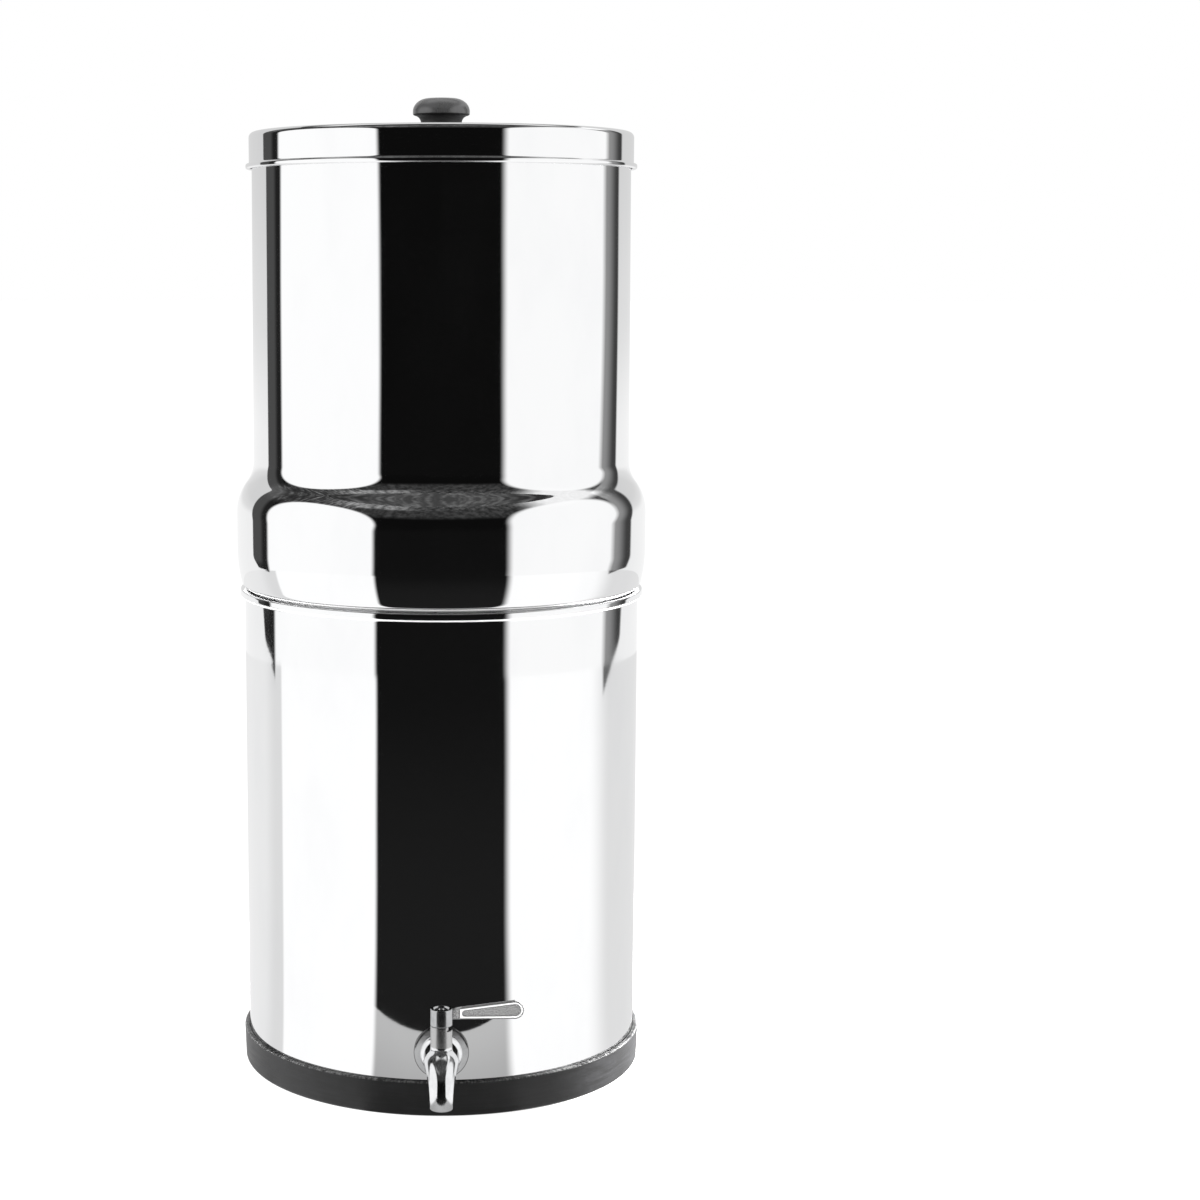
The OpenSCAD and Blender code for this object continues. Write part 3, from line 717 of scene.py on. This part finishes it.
def buildBaseRing():
    b = baseRing
    r, z = top("base_ring").x, top("base_ring").z
    low = r - b["flare"]
    lip, lipEdge, seatEdge = b["lipR"], b["lipEdge"], b["seatEdge"]
    outline = [(lip, lipEdge), (lip + lipEdge, 0)]
    outline += arc(low - b["foot"], b["foot"], b["foot"], -90, 0, 8)
    outline += arc(r - b["edge"], z - b["edge"], b["edge"], 0, 90, 8)
    outline += [(b["seatR"] + seatEdge, z), (b["seatR"], z - seatEdge)]
    outline += [(b["seatR"], b["seatZ"]), (lip + lipEdge, b["seatZ"]), (lip, b["seatZ"] - lipEdge)]
    return turned("baseRingSkin", outline, rubberCharcoal)


vessel = {
    "bodyR": 120.0,
    "sheet": 0.8,
    "footRound": 8.0,
    "hemH": 4.8,
    "hemOut": 2.8,
    "hemRound": 1.5,
    "hemTopRound": 0.825,
    "hemCorner": 0.5,
    "lipRound": 0.6,
    "bulgeOut": 4.4,
    "bulgeFootRound": 90.0,
    "bulgeFootH": 25.0,
    "bulgeH": 21.5,
    "stepIn": 1.2,
    "floorDrop": 12.0,
    "floorRound": 4.0,
    "rimGap": 0.3,
    "ledgeRound": 5.0,
    "shoulderRound": 30.0,
    "shoulderSweep": 37.0,
    "neckRound": 22.0,
    "mouthR": 113.3,
    "bead": 1.5,
    "floorHoleR": 9.0,
    "elementX": 65.0,
    "plugY": 65.0,
}


def lowerOutline():
    v = vessel
    r, t = v["bodyR"], v["sheet"]
    low, rim = bottom("lower_chamber").z, top("lower_chamber").z
    hemR = r + v["hemOut"]
    hemLow = rim - v["hemH"]
    e, c = v["hemRound"], v["hemTopRound"]
    foot, corner, lip = v["footRound"], v["hemCorner"], v["lipRound"]
    outer = [(0, low)] + arc(r - foot, low + foot, foot, -90, 0, 14)
    hem = arc(r + corner, hemLow - corner, corner, 180, 90, 4)
    hem += arc(hemR - e, hemLow + e, e, -90, 0, 8) + arc(hemR - c, rim - c, c, 0, 90, 8)
    hem += arc(r - t + lip, rim - lip, lip, 90, 180, 5)
    inner = arc(r - foot, low + foot, foot - t, 0, -90, 12) + [(0, low + t)]
    return outer + hem + inner


def upperOutline():
    v = vessel
    t = v["sheet"]
    rim, mouth = top("lower_chamber").z, top("upper_chamber").z
    stepR = v["bodyR"] - t - v["stepIn"]
    floorZ = rim - v["floorDrop"]
    ledgeZ = rim + v["rimGap"]
    bulgeR = v["bodyR"] + v["bulgeOut"]
    footCentre = (bulgeR - v["bulgeFootRound"], rim + v["bulgeFootH"])
    ledgeUp = ledgeZ + v["ledgeRound"]
    span = v["bulgeFootRound"] - v["ledgeRound"]
    ledgeTurn = degrees(asin((footCentre[1] - ledgeUp) / span))
    ledgeAcross = footCentre[0] + span * cos(radians(ledgeTurn))
    fillet = ledgeAcross - stepR
    shoulder = (bulgeR - v["shoulderRound"], footCentre[1] + v["bulgeH"])
    sweep = v["shoulderSweep"]
    reach = v["shoulderRound"] + v["neckRound"]
    neck = (shoulder[0] + reach * cos(radians(sweep)), shoulder[1] + reach * sin(radians(sweep)))
    bead = v["bead"]
    beadAt = (v["mouthR"] - bead, mouth - bead)

    def sheetSide(d, fine):
        side = [(0, floorZ + d)]
        side += arc(stepR - v["floorRound"], floorZ + v["floorRound"], v["floorRound"] - d, -90, 0, 8)
        side += arc(stepR + fillet, ledgeZ - fillet, fillet + d, 180, 90, 5)
        side += arc(ledgeAcross, ledgeUp, v["ledgeRound"] - d, -90, -ledgeTurn, 8)
        side += arc(*footCentre, v["bulgeFootRound"] - d, -ledgeTurn, 0, fine)
        side += arc(*shoulder, v["shoulderRound"] - d, 0, sweep, fine)
        side += arc(*neck, v["neckRound"] + d, 180 + sweep, 180, fine)
        return side

    turnIn = degrees(acos((bead - t) / bead))
    return sheetSide(0, 20) + arc(*beadAt, bead, 0, 360 - turnIn, 20) + sheetSide(t, 14)[::-1]


def markInside(piece, floorR, floorZ):  # satin inside, mirror outside
    mesh = piece.data
    places, normals = np.empty(len(mesh.polygons) * 3), np.empty(len(mesh.polygons) * 3)
    mesh.polygons.foreach_get("center", places)
    mesh.polygons.foreach_get("normal", normals)
    (x, y, z), (outX, outY, outZ) = places.reshape(-1, 3).T / mm, normals.reshape(-1, 3).T
    reach = np.hypot(x, y)
    inward = (x * outX + y * outY) / np.maximum(reach, 1.0) < -0.2  # faces that turn to the axis
    floor = (outZ > 0.75) & (reach < floorR) & (z < floorZ)
    mark = mesh.attributes.new("inside", "FLOAT", "FACE")
    mark.data.foreach_set("value", (inward | floor).astype(float))


def buildVessels():
    v = vessel
    lower = turned("lowerVessel", lowerOutline(), steelMirror, segments=320)
    upper = turned("upperVessel", upperOutline(), steelMirror, segments=320)
    floorZ = bottom("upper_chamber").z
    holes = [(v["elementX"], 0), (-v["elementX"], 0), (0, v["plugY"]), (0, -v["plugY"])]
    cutHoles(upper, holes, v["floorHoleR"], floorZ - 1, floorZ + v["sheet"] + 1)
    for piece in (lower, upper):
        markInside(piece, v["bodyR"] - v["sheet"] - v["stepIn"], floorZ + 2 * v["floorDrop"])
    return lower, upper


lid = {
    "r": 115.0,
    "sheet": 0.7,
    "round": 3.2,
    "flangeH": 3.0,
    "flangeRound": 1.0,
    "corner": 0.4,
    "holeR": 2.7,
}


def buildLid():
    z, low, out = top("lid_shell").z, bottom("lid_shell").z, top("lid_shell").x
    r, t, e, c = lid["r"], lid["sheet"], lid["round"], lid["flangeRound"]
    flangeTop, corner = low + lid["flangeH"], lid["corner"]
    outline = arc(out - c, low + c, c, -90, 0, 7) + arc(out - c, flangeTop - c, c, 0, 90, 7)
    outline += arc(r + corner, flangeTop + corner, corner, -90, -180, 3)
    outline += arc(r - e, z - e, e, 0, 90, 14) + [(lid["holeR"], z), (lid["holeR"], z - t)]
    outline += arc(r - e, z - e, e - t, 90, 0, 12)
    outline += arc(r - t + corner, low + corner, corner, 180, 270, 3)
    skin = turned("lidSkin", outline, steelMirror, segments=320)
    markInside(skin, 0.0, 0.0)
    return skin


knob = {
    "neckR": 12.2,
    "neckH": 5.9,
    "flareR": 16.6,
    "grooveR": 11.8,  # shadow gap under the cap
    "grooveH": 1.0,
    "edge": 1.2,
    "footEdge": 0.3,
    "wideH": 12.7,
    "flat": 0.45,
    "screwR": 2.5,
    "screwH": 13.0,
    "gapShadowZ": (9.9, 10.2),  # where the painted black shadow in the gap begins and the painted shade below the cap ends
    "capShadeZ": (10.9, 11.2),
}


def buildKnob():
    k = knob
    foot, crown, wide = bottom("lid_knob").z, top("lid_knob").z, top("lid_knob").x
    widest = foot + k["wideH"]
    sweep = [radians(a) for a in np.linspace(0, 90, 25)[1:]]
    flat, rise = k["flat"], crown - widest
    dome = [(wide * (flat + (1 - flat) * cos(a)), widest + rise * sin(a)) for a in sweep]
    neck, edge = k["neckR"], k["footEdge"]
    outline = [(k["screwR"], foot), (neck - edge, foot), (neck, foot + edge)]
    flare = k["flareR"] - neck
    outline += arc(k["flareR"], foot + k["neckH"], flare, 180, 100, 14)
    grooveZ = foot + k["neckH"] + flare
    outline += [(k["grooveR"], grooveZ), (k["grooveR"], grooveZ + k["grooveH"])]
    outline += arc(wide - k["edge"], widest - k["edge"], k["edge"], -70, 0, 6)
    outline += dome + [(0, crown), (0, foot + k["screwH"]), (k["screwR"], foot + k["screwH"])]
    return turned("knobSkin", outline, plasticKnob, segments=160)


steelMirror = newMaterial("steelMirror", mirrorSteel)
rubberCharcoal = newMaterial("rubberCharcoal", rubberFinish)
plasticKnob = newMaterial("plasticKnob", knobFinish)
lowerVessel, upperVessel = buildVessels()
settle(lowerVessel, "lower", "polished_steel", "lower_chamber")
settle(upperVessel, "upper", "polished_steel", "upper_chamber")
settle(buildLid(), "lid", "polished_steel", "lid_shell")
settle(buildKnob(), "lid", "knob_plastic", "lid_knob")
settle(buildBaseRing(), "lower", "base_rubber", "base_ring")
print("vessels, lid, knob and base ring made")


def growPiece(name, material, sizes, shape, *others):  # runs a Geometry Nodes tree and keeps its mesh
    tree = bpy.data.node_groups.new(name, "GeometryNodeTree")
    tree.interface.new_socket(name="Geometry", in_out="OUTPUT", socket_type="NodeSocketGeometry")
    for key, value in sizes.items():
        socket = tree.interface.new_socket(name=key, in_out="INPUT", socket_type="NodeSocketFloat")
        socket.default_value = value
    board = Board(tree)
    inputs = {key: board.make("NodeGroupInput", out=key) for key in sizes}
    real = board.make("GeometryNodeRealizeInstances", {}, (shape(board, inputs, *others),))
    finished = board.make("GeometryNodeSetMaterial", {}, {"Geometry": real, "Material": material})
    board.make("NodeGroupOutput", {}, (finished,))
    piece = bpy.data.objects.new(name, bpy.data.meshes.new(name))
    bpy.context.scene.collection.objects.link(piece)
    modifier = piece.modifiers.new(name, "NODES")
    modifier.node_group = tree
    for item in tree.interface.items_tree:
        if item.in_out == "INPUT":
            modifier[item.identifier] = sizes[item.name]
    applyModifiers(piece)
    bpy.data.node_groups.remove(tree)
    return piece


def castFrom(board, size, low, high, cell, distance):  # skin of a solid given as distance in mm
    x, y, z = board.axes(board.make("GeometryNodeInputPosition"))
    field = distance(x / mm, y / mm, z / mm, size)
    counts = {f"Resolution {axis}": round((b - a) / cell) for axis, a, b in zip("XYZ", low, high)}
    sockets = {"Density": 1.0 - field, "Background": 0.0}
    sockets["Min"] = tuple(v * mm for v in low)
    sockets["Max"] = tuple(v * mm for v in high)
    volume = board.make("GeometryNodeVolumeCube", {}, {**sockets, **counts})
    skin = board.make("GeometryNodeVolumeToMesh", {}, {"Volume": volume, "Threshold": 1.0})
    pushed = {"Vector": board.make("GeometryNodeInputNormal"), "Scale": field * -mm}
    push = board.make("ShaderNodeVectorMath", {"operation": "SCALE"}, pushed)
    close = board.make("GeometryNodeSetPosition", {}, {"Geometry": skin, "Offset": push})
    return board.make("GeometryNodeSetShadeSmooth", {}, (close,))


tap = {
    "axisZ": 39.5,  # shank axis
    "valveA": 142.0,  # valve axis, measured outwards from the vessel's own axis
    "shankFrom": 93.0,
    "shankR": 8.0,
    "threadDepth": 0.6,
    "threadPitch": 1.5,
    "threadTo": 119.0,
    "flangeA": 122.0,
    "flangeR": 16.0,
    "flangeT": 2.4,
    "bevelR": 13.2,  # the flange's front slopes outwards from here
    "bevelT": 3.6,
    "bevel": (0.447, 0.894),  # direction that the slope faces
    "collarR": 12.2,
    "collarRound": 3.4,
    "collarA": 127.2,
    "barrelR": 10.0,
    "bendFrom": 144.0,
    "bendR": 16.0,  # forwards
    "bendH": 20.4,  # and down
    "mouthR": 6.55,
    "mouthRound": 1.2,
    "mouthZ": 18.6,
    "taper": 1.3,  # more than 1 thins the spout sooner
    "housingR": 6.25,
    "housingZ": 61.6,
    "fillet": 0.9,
    "notchZ": 59.2,
    "notchFrom": -57.5,
    "notchTo": 61.0,
    "cavityR": 6.1,
    "cavityTo": 149.4,
    "boreR": 4.25,
    "boreBend": 13.0,
    "stemBore": 4.05,
    "machinedZ": (48.8, 50.2),  # the finish changes between these heights
    "threadStart": 0.8,  # from the shank's end
    "threadShort": 1.5,  # left out of the shank's length
    "cell": 0.42,
    "margin": 1.5,
}


def tapDistance(x, y, z, size):
    t = tap
    out = y * -1.0  # away from the vessel
    rise = z - t["axisZ"]
    shaft = across(x, rise)  # distance from the shank's axis
    flange = (shaft - size["Flange radius"]).most((out - (t["flangeA"] + t["flangeT"])))
    aside, ahead = t["bevel"]
    bevel = (shaft - t["bevelR"]) * aside + (out - (t["flangeA"] + t["bevelT"])) * ahead
    flange = flange.trim(bevel, 0.5).most(t["flangeA"] - out)
    roll = t["collarRound"]
    collar = across((shaft - (t["collarR"] - roll)).most(0.0), out - t["collarA"]) - roll
    base = flange.blend(collar, 0.5)
    root = (shaft - (t["shankR"] - t["threadDepth"])).most(t["shankFrom"] - out).most(out - t["collarA"])
    barrel = (shaft - t["barrelR"]).most(t["flangeA"] + 1.0 - out).most(out - (t["bendFrom"] + 1.0))
    bendZ = t["axisZ"] - t["bendH"]
    flat = t["bendR"] / t["bendH"]
    ahead = out - t["bendFrom"]
    above = z - bendZ
    bendLength = (t["bendR"] + t["bendH"]) * pi / 4
    spoutLength = bendLength + bendZ - t["mouthZ"]
    sweep = ahead.maths("ARCTAN2", above * flat).most(0.0).least(pi / 2)
    along = sweep * (bendLength / (pi / 2)) + (above * -1.0).most(0.0)
    left = (1.0 - along / spoutLength).most(0.0).maths("POWER", t["taper"])
    thick = size["Mouth radius"] + (t["barrelR"] - size["Mouth radius"]) * left
    ring = across(ahead, above * flat)
    slope = across(ahead, above * (flat * flat)) / ring.most(0.5)
    bend = across(x, (ring - t["bendR"]) / slope.most(0.4)) - thick
    bend = bend.most(-ahead).most(-above)
    mouthOut = out - (t["bendFrom"] + t["bendR"])
    mouth = (across(x, mouthOut) - thick).most(above - 1.0)
    mouth = mouth.trim(t["mouthZ"] - z, t["mouthRound"])
    body = barrel.least(bend).least(mouth)
    stemOut = out - t["valveA"]
    fromStem = across(x, stemOut)
    housing = (fromStem - size["Housing radius"]).trim(z - t["housingZ"], 0.35).most(-rise)
    body = body.blend(housing, t["fillet"]).blend(base, 0.9).least(root)
    low, high = radians(t["notchFrom"]), radians(t["notchTo"])
    side = stemOut * -1.0  # the valve's own forward axis
    firstFace = x * sin(low) - side * cos(low)
    lastFace = side * cos(high) - x * sin(high)
    notch = (t["notchZ"] - z).most(firstFace).most(lastFace)
    cavity = (shaft - t["cavityR"]).most(out - t["cavityTo"])
    boreZ = t["axisZ"] - t["boreBend"]
    boreAhead = out - (t["bendFrom"] + t["bendR"] - t["boreBend"])
    boreAbove = z - boreZ
    boreBend = across(x, across(boreAhead, boreAbove) - t["boreBend"]) - t["boreR"]
    boreBend = boreBend.most(-boreAhead).most(-boreAbove)
    boreAcross = (shaft - t["boreR"]).most(boreAhead - 0.5).most(t["valveA"] - out)
    boreDown = (across(x, mouthOut) - t["boreR"]).most(boreAbove - 0.5)
    bore = boreBend.least(boreAcross).least(boreDown)
    stem = (fromStem - t["stemBore"]).most(-rise)
    return body.carve(notch, 0.25).carve(bore.least(cavity), 0.4).carve(stem, 0.3)


def buildTap():
    t, past = tap, tap["margin"]
    low = (-t["flangeR"] - past, -(t["bendFrom"] + t["bendR"] + t["barrelR"]), t["mouthZ"] - past)
    high = (t["flangeR"] + past, past - t["shankFrom"], t["housingZ"] + past)
    sizes = {"Flange radius": t["flangeR"], "Mouth radius": t["mouthR"], "Housing radius": t["housingR"]}
    return growPiece("tapCasting", steelCast, sizes, castFrom, low, high, t["cell"], tapDistance)


lever = {
    "hubR": 6.25,
    "hubZ": 61.8,
    "hubTop": 71.6,
    "recessR": 4.6,
    "recessH": 2.5,
    "squareHalf": 2.53,
    "tabTurn": 47.0,
    "tabHalf": 13.5,
    "tabIn": 4.3,
    "tabZ": 59.5,
    "bladeT": 3.0,
    "bladeFrom": 3.0,  # inside the hub
    "endX": 41.8,  # middle of the round end
    "endZ": 70.9,
    "endR": 5.2,
    "topSlope": 7.4,
    "bottomSlope": 0.6,
    "neckX": 8.9,  # the blade's top drops from here to the hub
    "neckSlope": 24.0,
    "panelFrom": 11.7,
    "rim": 1.65,
    "panelDepth": 0.35,
    "edge": 0.5,
    "cell": 0.22,
    "margin": 0.8,
}


def bladeDistance(x, z):  # side view of the blade: tapered, with a round end
    v = lever
    top, low, neck = radians(v["topSlope"]), radians(v["bottomSlope"]), radians(v["neckSlope"])
    side, rise = x - v["endX"], z - v["endZ"]
    above = rise * cos(top) - side * sin(top) - v["endR"]
    below = side * sin(low) - rise * cos(low) - v["endR"]
    neckZ = v["endR"] * cos(top) + (v["neckX"] - v["endX"] + v["endR"] * sin(top)) * tan(top)
    slope = (rise - neckZ) * cos(neck) - (x - v["neckX"]) * sin(neck)
    bar = above.trim(slope, 1.2).most(below).most(side)
    return bar.least(across(side, rise) - v["endR"])


def panelDistance(x, z):  # the sunken panel inside the blade's rim
    v = lever
    return (bladeDistance(x, z) + v["rim"]).trim(v["panelFrom"] - x, 3.0)


def leverDistance(x, y, z, size):
    v = lever
    forward = y + tap["valveA"]  # the valve's own forward axis
    fromStem = across(x, forward)
    hub = (fromStem - size["Hub radius"]).trim(z - v["hubTop"], 0.5).trim(v["hubZ"] - z, 0.3)
    half = size["Blade thickness"] * 0.5
    blade = bladeDistance(x, z).trim(forward.size() - half, v["edge"]).most(v["bladeFrom"] - x)
    panel = panelDistance(x, z).most(half - v["panelDepth"] - forward.size())
    blade = blade.carve(panel, 0.25)
    tabTurn = forward.maths("ARCTAN2", x) - radians(v["tabTurn"])
    tab = (tabTurn.size() - radians(v["tabHalf"])) * fromStem
    tab = tab.most((fromStem - size["Hub radius"]).trim(v["tabZ"] - z, 0.3))
    tab = tab.most(v["tabIn"] - fromStem).most(z - (v["hubZ"] + 0.6))
    recess = (fromStem - v["recessR"]).most(v["hubTop"] - v["recessH"] - z)
    square = x.size().most(forward.size()) - v["squareHalf"]
    return hub.blend(blade, 0.5).least(tab).carve(recess, 0.3).carve(square, 0.2)


def buildLever():
    v, past = lever, lever["margin"]
    r = v["hubR"] + past
    low = (-r, -tap["valveA"] - r, v["tabZ"] - past)
    high = (v["endX"] + v["endR"] + past, -tap["valveA"] + r, v["endZ"] + v["endR"] + past)
    sizes = {"Hub radius": v["hubR"], "Blade thickness": v["bladeT"]}
    return growPiece("leverCasting", steelLever, sizes, castFrom, low, high, v["cell"], leverDistance)


def hideFromMirrors(*pieces):  # the vessel's wall shows no picture of these
    for piece in pieces:
        piece.visible_glossy = False


steelCast = newMaterial("steelCast", castSteel)
steelLever = newMaterial("steelLever", leverSteel)
tapCasting, leverCasting = buildTap(), buildLever()
settle(tapCasting, "lower", "tap_steel", "tap_body")
settle(leverCasting, "lever", "tap_steel", "tap_lever")
hideFromMirrors(tapCasting, leverCasting)
smallParts = ["lever_screw", "tap_outer_washer", "valve_stem", "valve_ball", "stem_o_ring"]
smallParts += ["valve_seat_front", "valve_seat_rear", "seat_retainer"]
hideFromMirrors(*[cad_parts[name] for name in smallParts])
print("tap and lever cast")


element = {
    "coreR": 15.0,  # hollow middle of the carbon block
    "carbonRound": 2.0,
    "coreCap": 12.0,
    "boreR": 4.0,
    "tipR": 7.0,
    "tipH": 12.6,
    "stemR": 8.65,
    "threadDepth": 0.9,
    "threadPitch": 1.8,
    "threadTurns": 12.4,
    "threadLow": 261.4,
    "bossH": 6.5,
    "bossR": 16.5,
    "slotH": 1.2,
    "slotShare": 0.55,  # of the boss's height
    "slotDepth": 1.0,
    "slotTurns": (15, 135, 255),
    "slotSweep": 60,
    "cupFloor": 4.0,
    "cupInner": 35.05,
    "cupRound": 1.2,
    "cupFillet": 0.6,
    "rimRound": 0.5,
    "rimInner": 0.35,
    "edge": 0.4,
    "tipEdge": 0.3,
}


def carbonOutline(node):
    e = element
    low, high = bottom(node).z, top(node).z
    r, crown = (top(node).x - bottom(node).x) / 2, e["carbonRound"]
    outline = [(e["coreR"], low), (r - e["edge"], low), (r, low + e["edge"])]
    outline += arc(r - crown, high - crown, crown, 0, 90, 8)
    return outline + [(0, high), (0, high - e["coreCap"]), (e["coreR"], high - e["coreCap"])]


def elementBaseOutline(node):
    e = element
    low, high = bottom(node).z, top(node).z
    r, roll = (top(node).x - bottom(node).x) / 2, e["cupRound"]
    edge, tip, fillet = e["edge"], e["tipEdge"], e["cupFillet"]
    rim, inner = e["rimRound"], e["rimInner"]
    bossZ = top(node.replace("base", "washer")).z
    cupZ = bossZ + e["bossH"]
    root = e["stemR"] - e["threadDepth"]
    outline = [(e["boreR"] + edge, low), (e["tipR"] - tip, low), (e["tipR"], low + tip)]
    stemZ = low + e["tipH"]
    outline += [(e["stemR"] - tip / 2, stemZ - tip), (e["stemR"] - edge, stemZ)]
    outline += [(root, stemZ + rim), (root, bossZ)]
    outline += [(e["bossR"] - edge, bossZ), (e["bossR"], bossZ + edge), (e["bossR"], cupZ - fillet)]
    outline += [(e["bossR"] + fillet, cupZ)] + arc(r - roll, cupZ + roll, roll, -90, 0, 6)
    outline += arc(r - rim, high - rim, rim, 0, 90, 5)
    outline += arc(e["cupInner"] + inner, high - inner, inner, 90, 180, 4)
    carbonZ = cupZ + e["cupFloor"]
    return outline + [(e["cupInner"], carbonZ), (e["boreR"], carbonZ), (e["boreR"], low + edge)]


ridge = {"foot": 0.9, "crest": 0.22, "fade": 0.5, "sharp": 25.0}  # widths in pitches, fade in turns


def coilShape(board, size, turns, move, tilt):  # a screw thread that thins out at both ends
    root = size["Crest radius"] - size["Depth"]
    sockets = {"Resolution": 72, "Rotations": turns, "Start Radius": root * mm, "End Radius": root * mm}
    sockets["Height"] = size["Pitch"] * (turns * mm)
    spiral = board.make("GeometryNodeCurveSpiral", {}, sockets)
    share = board.make("GeometryNodeSplineParameter")
    thin = (share.least(1.0 - share) * turns).spread(-0.1, ridge["fade"])
    spiral = board.make("GeometryNodeSetCurveRadius", {}, {"Curve": spiral, "Radius": thin})
    spiral = board.make("GeometryNodeSetCurveNormal", {"mode": "Z_UP"}, (spiral,))
    section = board.make("GeometryNodeCurvePrimitiveQuadrilateral", {"mode": "TRAPEZOID"}, {
        "Bottom Width": size["Pitch"] * (ridge["foot"] * mm),
        "Top Width": size["Pitch"] * (ridge["crest"] * mm),
        "Height": size["Depth"] * (2 * mm),
        "Offset": 0.0,
    })
    upright = {"Geometry": section, "Rotation": (0.0, 0.0, pi / 2)}
    section = board.make("GeometryNodeTransform", {}, upright)
    swept = {"Curve": spiral, "Profile Curve": section, "Fill Caps": True}
    coil = board.make("GeometryNodeCurveToMesh", {}, swept)
    placed = {"Geometry": coil, "Translation": [v * mm for v in move], "Rotation": tilt}
    return board.make("GeometryNodeTransform", {}, placed)


def buildCoil(name, material, crest, depth, pitch, turns, move, tilt=(0.0, 0.0, 0.0)):
    sizes = {"Crest radius": crest, "Depth": depth, "Pitch": pitch}
    coil = growPiece(name, material, sizes, coilShape, turns, move, tilt)
    smoothFaces(coil.data, ridge["sharp"])
    return coil


wingNut = {
    "hubR": 12.0,
    "flangeR": 14.8,
    "flangeH": 2.1,
    "bore": 8.75,
    "leadIn": 0.9,
    "turn": -35.0,
    "reach": 20.3,
    "armAt": 14.6,
    "armHalf": 4.2,
    "armW": 6.5,
    "armH": 3.6,
    "wingW": 9.0,
    "wingT": 3.0,
    "wingH": 7.6,
    "wingTop": 0.4,
    "soft": 0.6,
    "cell": 0.33,
    "margin": 0.8,
    "aside": 1.0,
}


def roundBox(x, y, z, half, edge):  # distance to a box with rounded edges
    past = [value.size() - (extent - edge) for value, extent in zip((x, y, z), half)]
    out = across(across(past[0].most(0.0), past[1].most(0.0)), past[2].most(0.0))
    return out + past[0].most(past[1]).most(past[2]).least(0.0) - edge


def buildWingNut(node):
    n = wingNut
    x0 = (top(node).x + bottom(node).x) / 2
    high, low = top(node).z, bottom(node).z
    turn = radians(n["turn"])
    lift = high - n["wingTop"] - n["wingH"]

    def distance(x, y, z, size):
        side = x - x0
        r = across(side, y)
        out = (side * cos(turn) + y * sin(turn)).size()
        wide = y * cos(turn) - side * sin(turn)
        thick = n["flangeH"] / 2
        flange = (r - n["flangeR"]).trim((z - (high - thick)).size() - thick, 0.6)
        hub = (r - size["Hub radius"]).trim(low - z, 0.8).most(z - (high - 0.6))
        half = (n["armHalf"], n["armW"] / 2, n["armH"] / 2)
        arm = roundBox(out - n["armAt"], wide, z - (lift + n["armH"] / 2), half, n["soft"])
        wingAt = size["Reach"] - n["wingT"] / 2
        half = (n["wingT"] / 2, n["wingW"] / 2, n["wingH"] / 2)
        wing = roundBox(out - wingAt, wide, z - (lift + n["wingH"] / 2), half, n["soft"])
        bore = r - n["bore"]
        inEnd = (high - low) / 2 - (z - (low + high) / 2).size()
        lead = (bore - n["leadIn"]) * 0.7 + inEnd * 0.7
        body = hub.least(flange).blend(arm.blend(wing, 0.8), 0.6)
        return body.carve(bore.least(lead), 0.3)

    edge, past = n["reach"] + n["aside"], n["margin"]
    corners = (x0 - edge, -edge, low - past), (x0 + edge, edge, high + past)
    sizes = {"Hub radius": n["hubR"], "Reach": n["reach"]}
    name = node.replace("wing_nut", "wingNut")
    return growPiece(name, plasticMoulded, sizes, castFrom, *corners, n["cell"], distance)


def buildElement(side, centre):
    e = element
    body = "element_" + side
    place = (centre, 0.0)
    carbon = turned("carbonSkin_" + side, carbonOutline("carbon_" + side), carbonPressed, place, 192)
    settle(carbon, body, "carbon", "carbon_" + side)
    node = "element_base_" + side
    base = turned("elementBase_" + side, elementBaseOutline(node), plasticMoulded, place, 192)
    slotZ = top("element_washer_" + side).z + e["bossH"] * e["slotShare"]
    slotR = (e["bossR"] - e["slotDepth"], e["bossR"] + e["slotDepth"])
    heights = (slotZ - e["slotH"] / 2, slotZ + e["slotH"] / 2)
    for turn in e["slotTurns"]:
        subtract(base, sectorBlock(place, slotR, heights, turn, e["slotSweep"], plasticMoulded))
    settle(base, body, "filter_plastic", node)
    thread = (e["stemR"], e["threadDepth"], e["threadPitch"], e["threadTurns"])
    coil = buildCoil("stemThread_" + side, plasticMoulded, *thread, (centre, 0.0, e["threadLow"]))
    settle(coil, body, "filter_plastic")
    settle(buildWingNut("wing_nut_" + side), "nut_" + side, "filter_plastic", "wing_nut_" + side)


def buildShankThread():
    t = tap
    turns = (t["threadTo"] - t["shankFrom"] - t["threadShort"]) / t["threadPitch"]
    thread = (t["shankR"], t["threadDepth"], t["threadPitch"], turns)
    start = (0.0, -t["shankFrom"] - t["threadStart"], t["axisZ"])
    return buildCoil("shankThread", steelTurned, *thread, start, (pi / 2, 0.0, 0.0))


steelTurned = newMaterial("steelTurned", turnedSteel)
carbonPressed = newMaterial("carbonPressed", carbonFinish)
plasticMoulded = newMaterial("plasticMoulded", mouldedFinish)
buildElement("left", -vessel["elementX"])
buildElement("right", vessel["elementX"])
settle(buildShankThread(), "lower", "tap_steel")
print("elements, wing nuts and threads made")


def dress(material, slot, *names):
    for name in names:
        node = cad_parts[name]
        node.data.materials.clear()
        node.data.materials.append(material)


rubberSeal = newMaterial("rubberSeal", sealFinish)
seatWhite = newMaterial("seatWhite", seatFinish)
dress(steelTurned, "tap_steel", "knob_screw", "knob_washer", "tap_nut", "seat_retainer", "lever_screw")
dress(steelCast, "tap_steel", "valve_stem", "valve_ball")
dress(rubberSeal, "seal_rubber", "blanking_plug_front", "blanking_plug_rear", "stem_o_ring")
dress(rubberSeal, "seal_rubber", "element_washer_left", "element_washer_right")
dress(rubberSeal, "seal_rubber", "tap_outer_washer", "tap_inner_washer")
dress(seatWhite, "seat_ptfe", "valve_seat_front", "valve_seat_rear")
print("kept pieces finished")
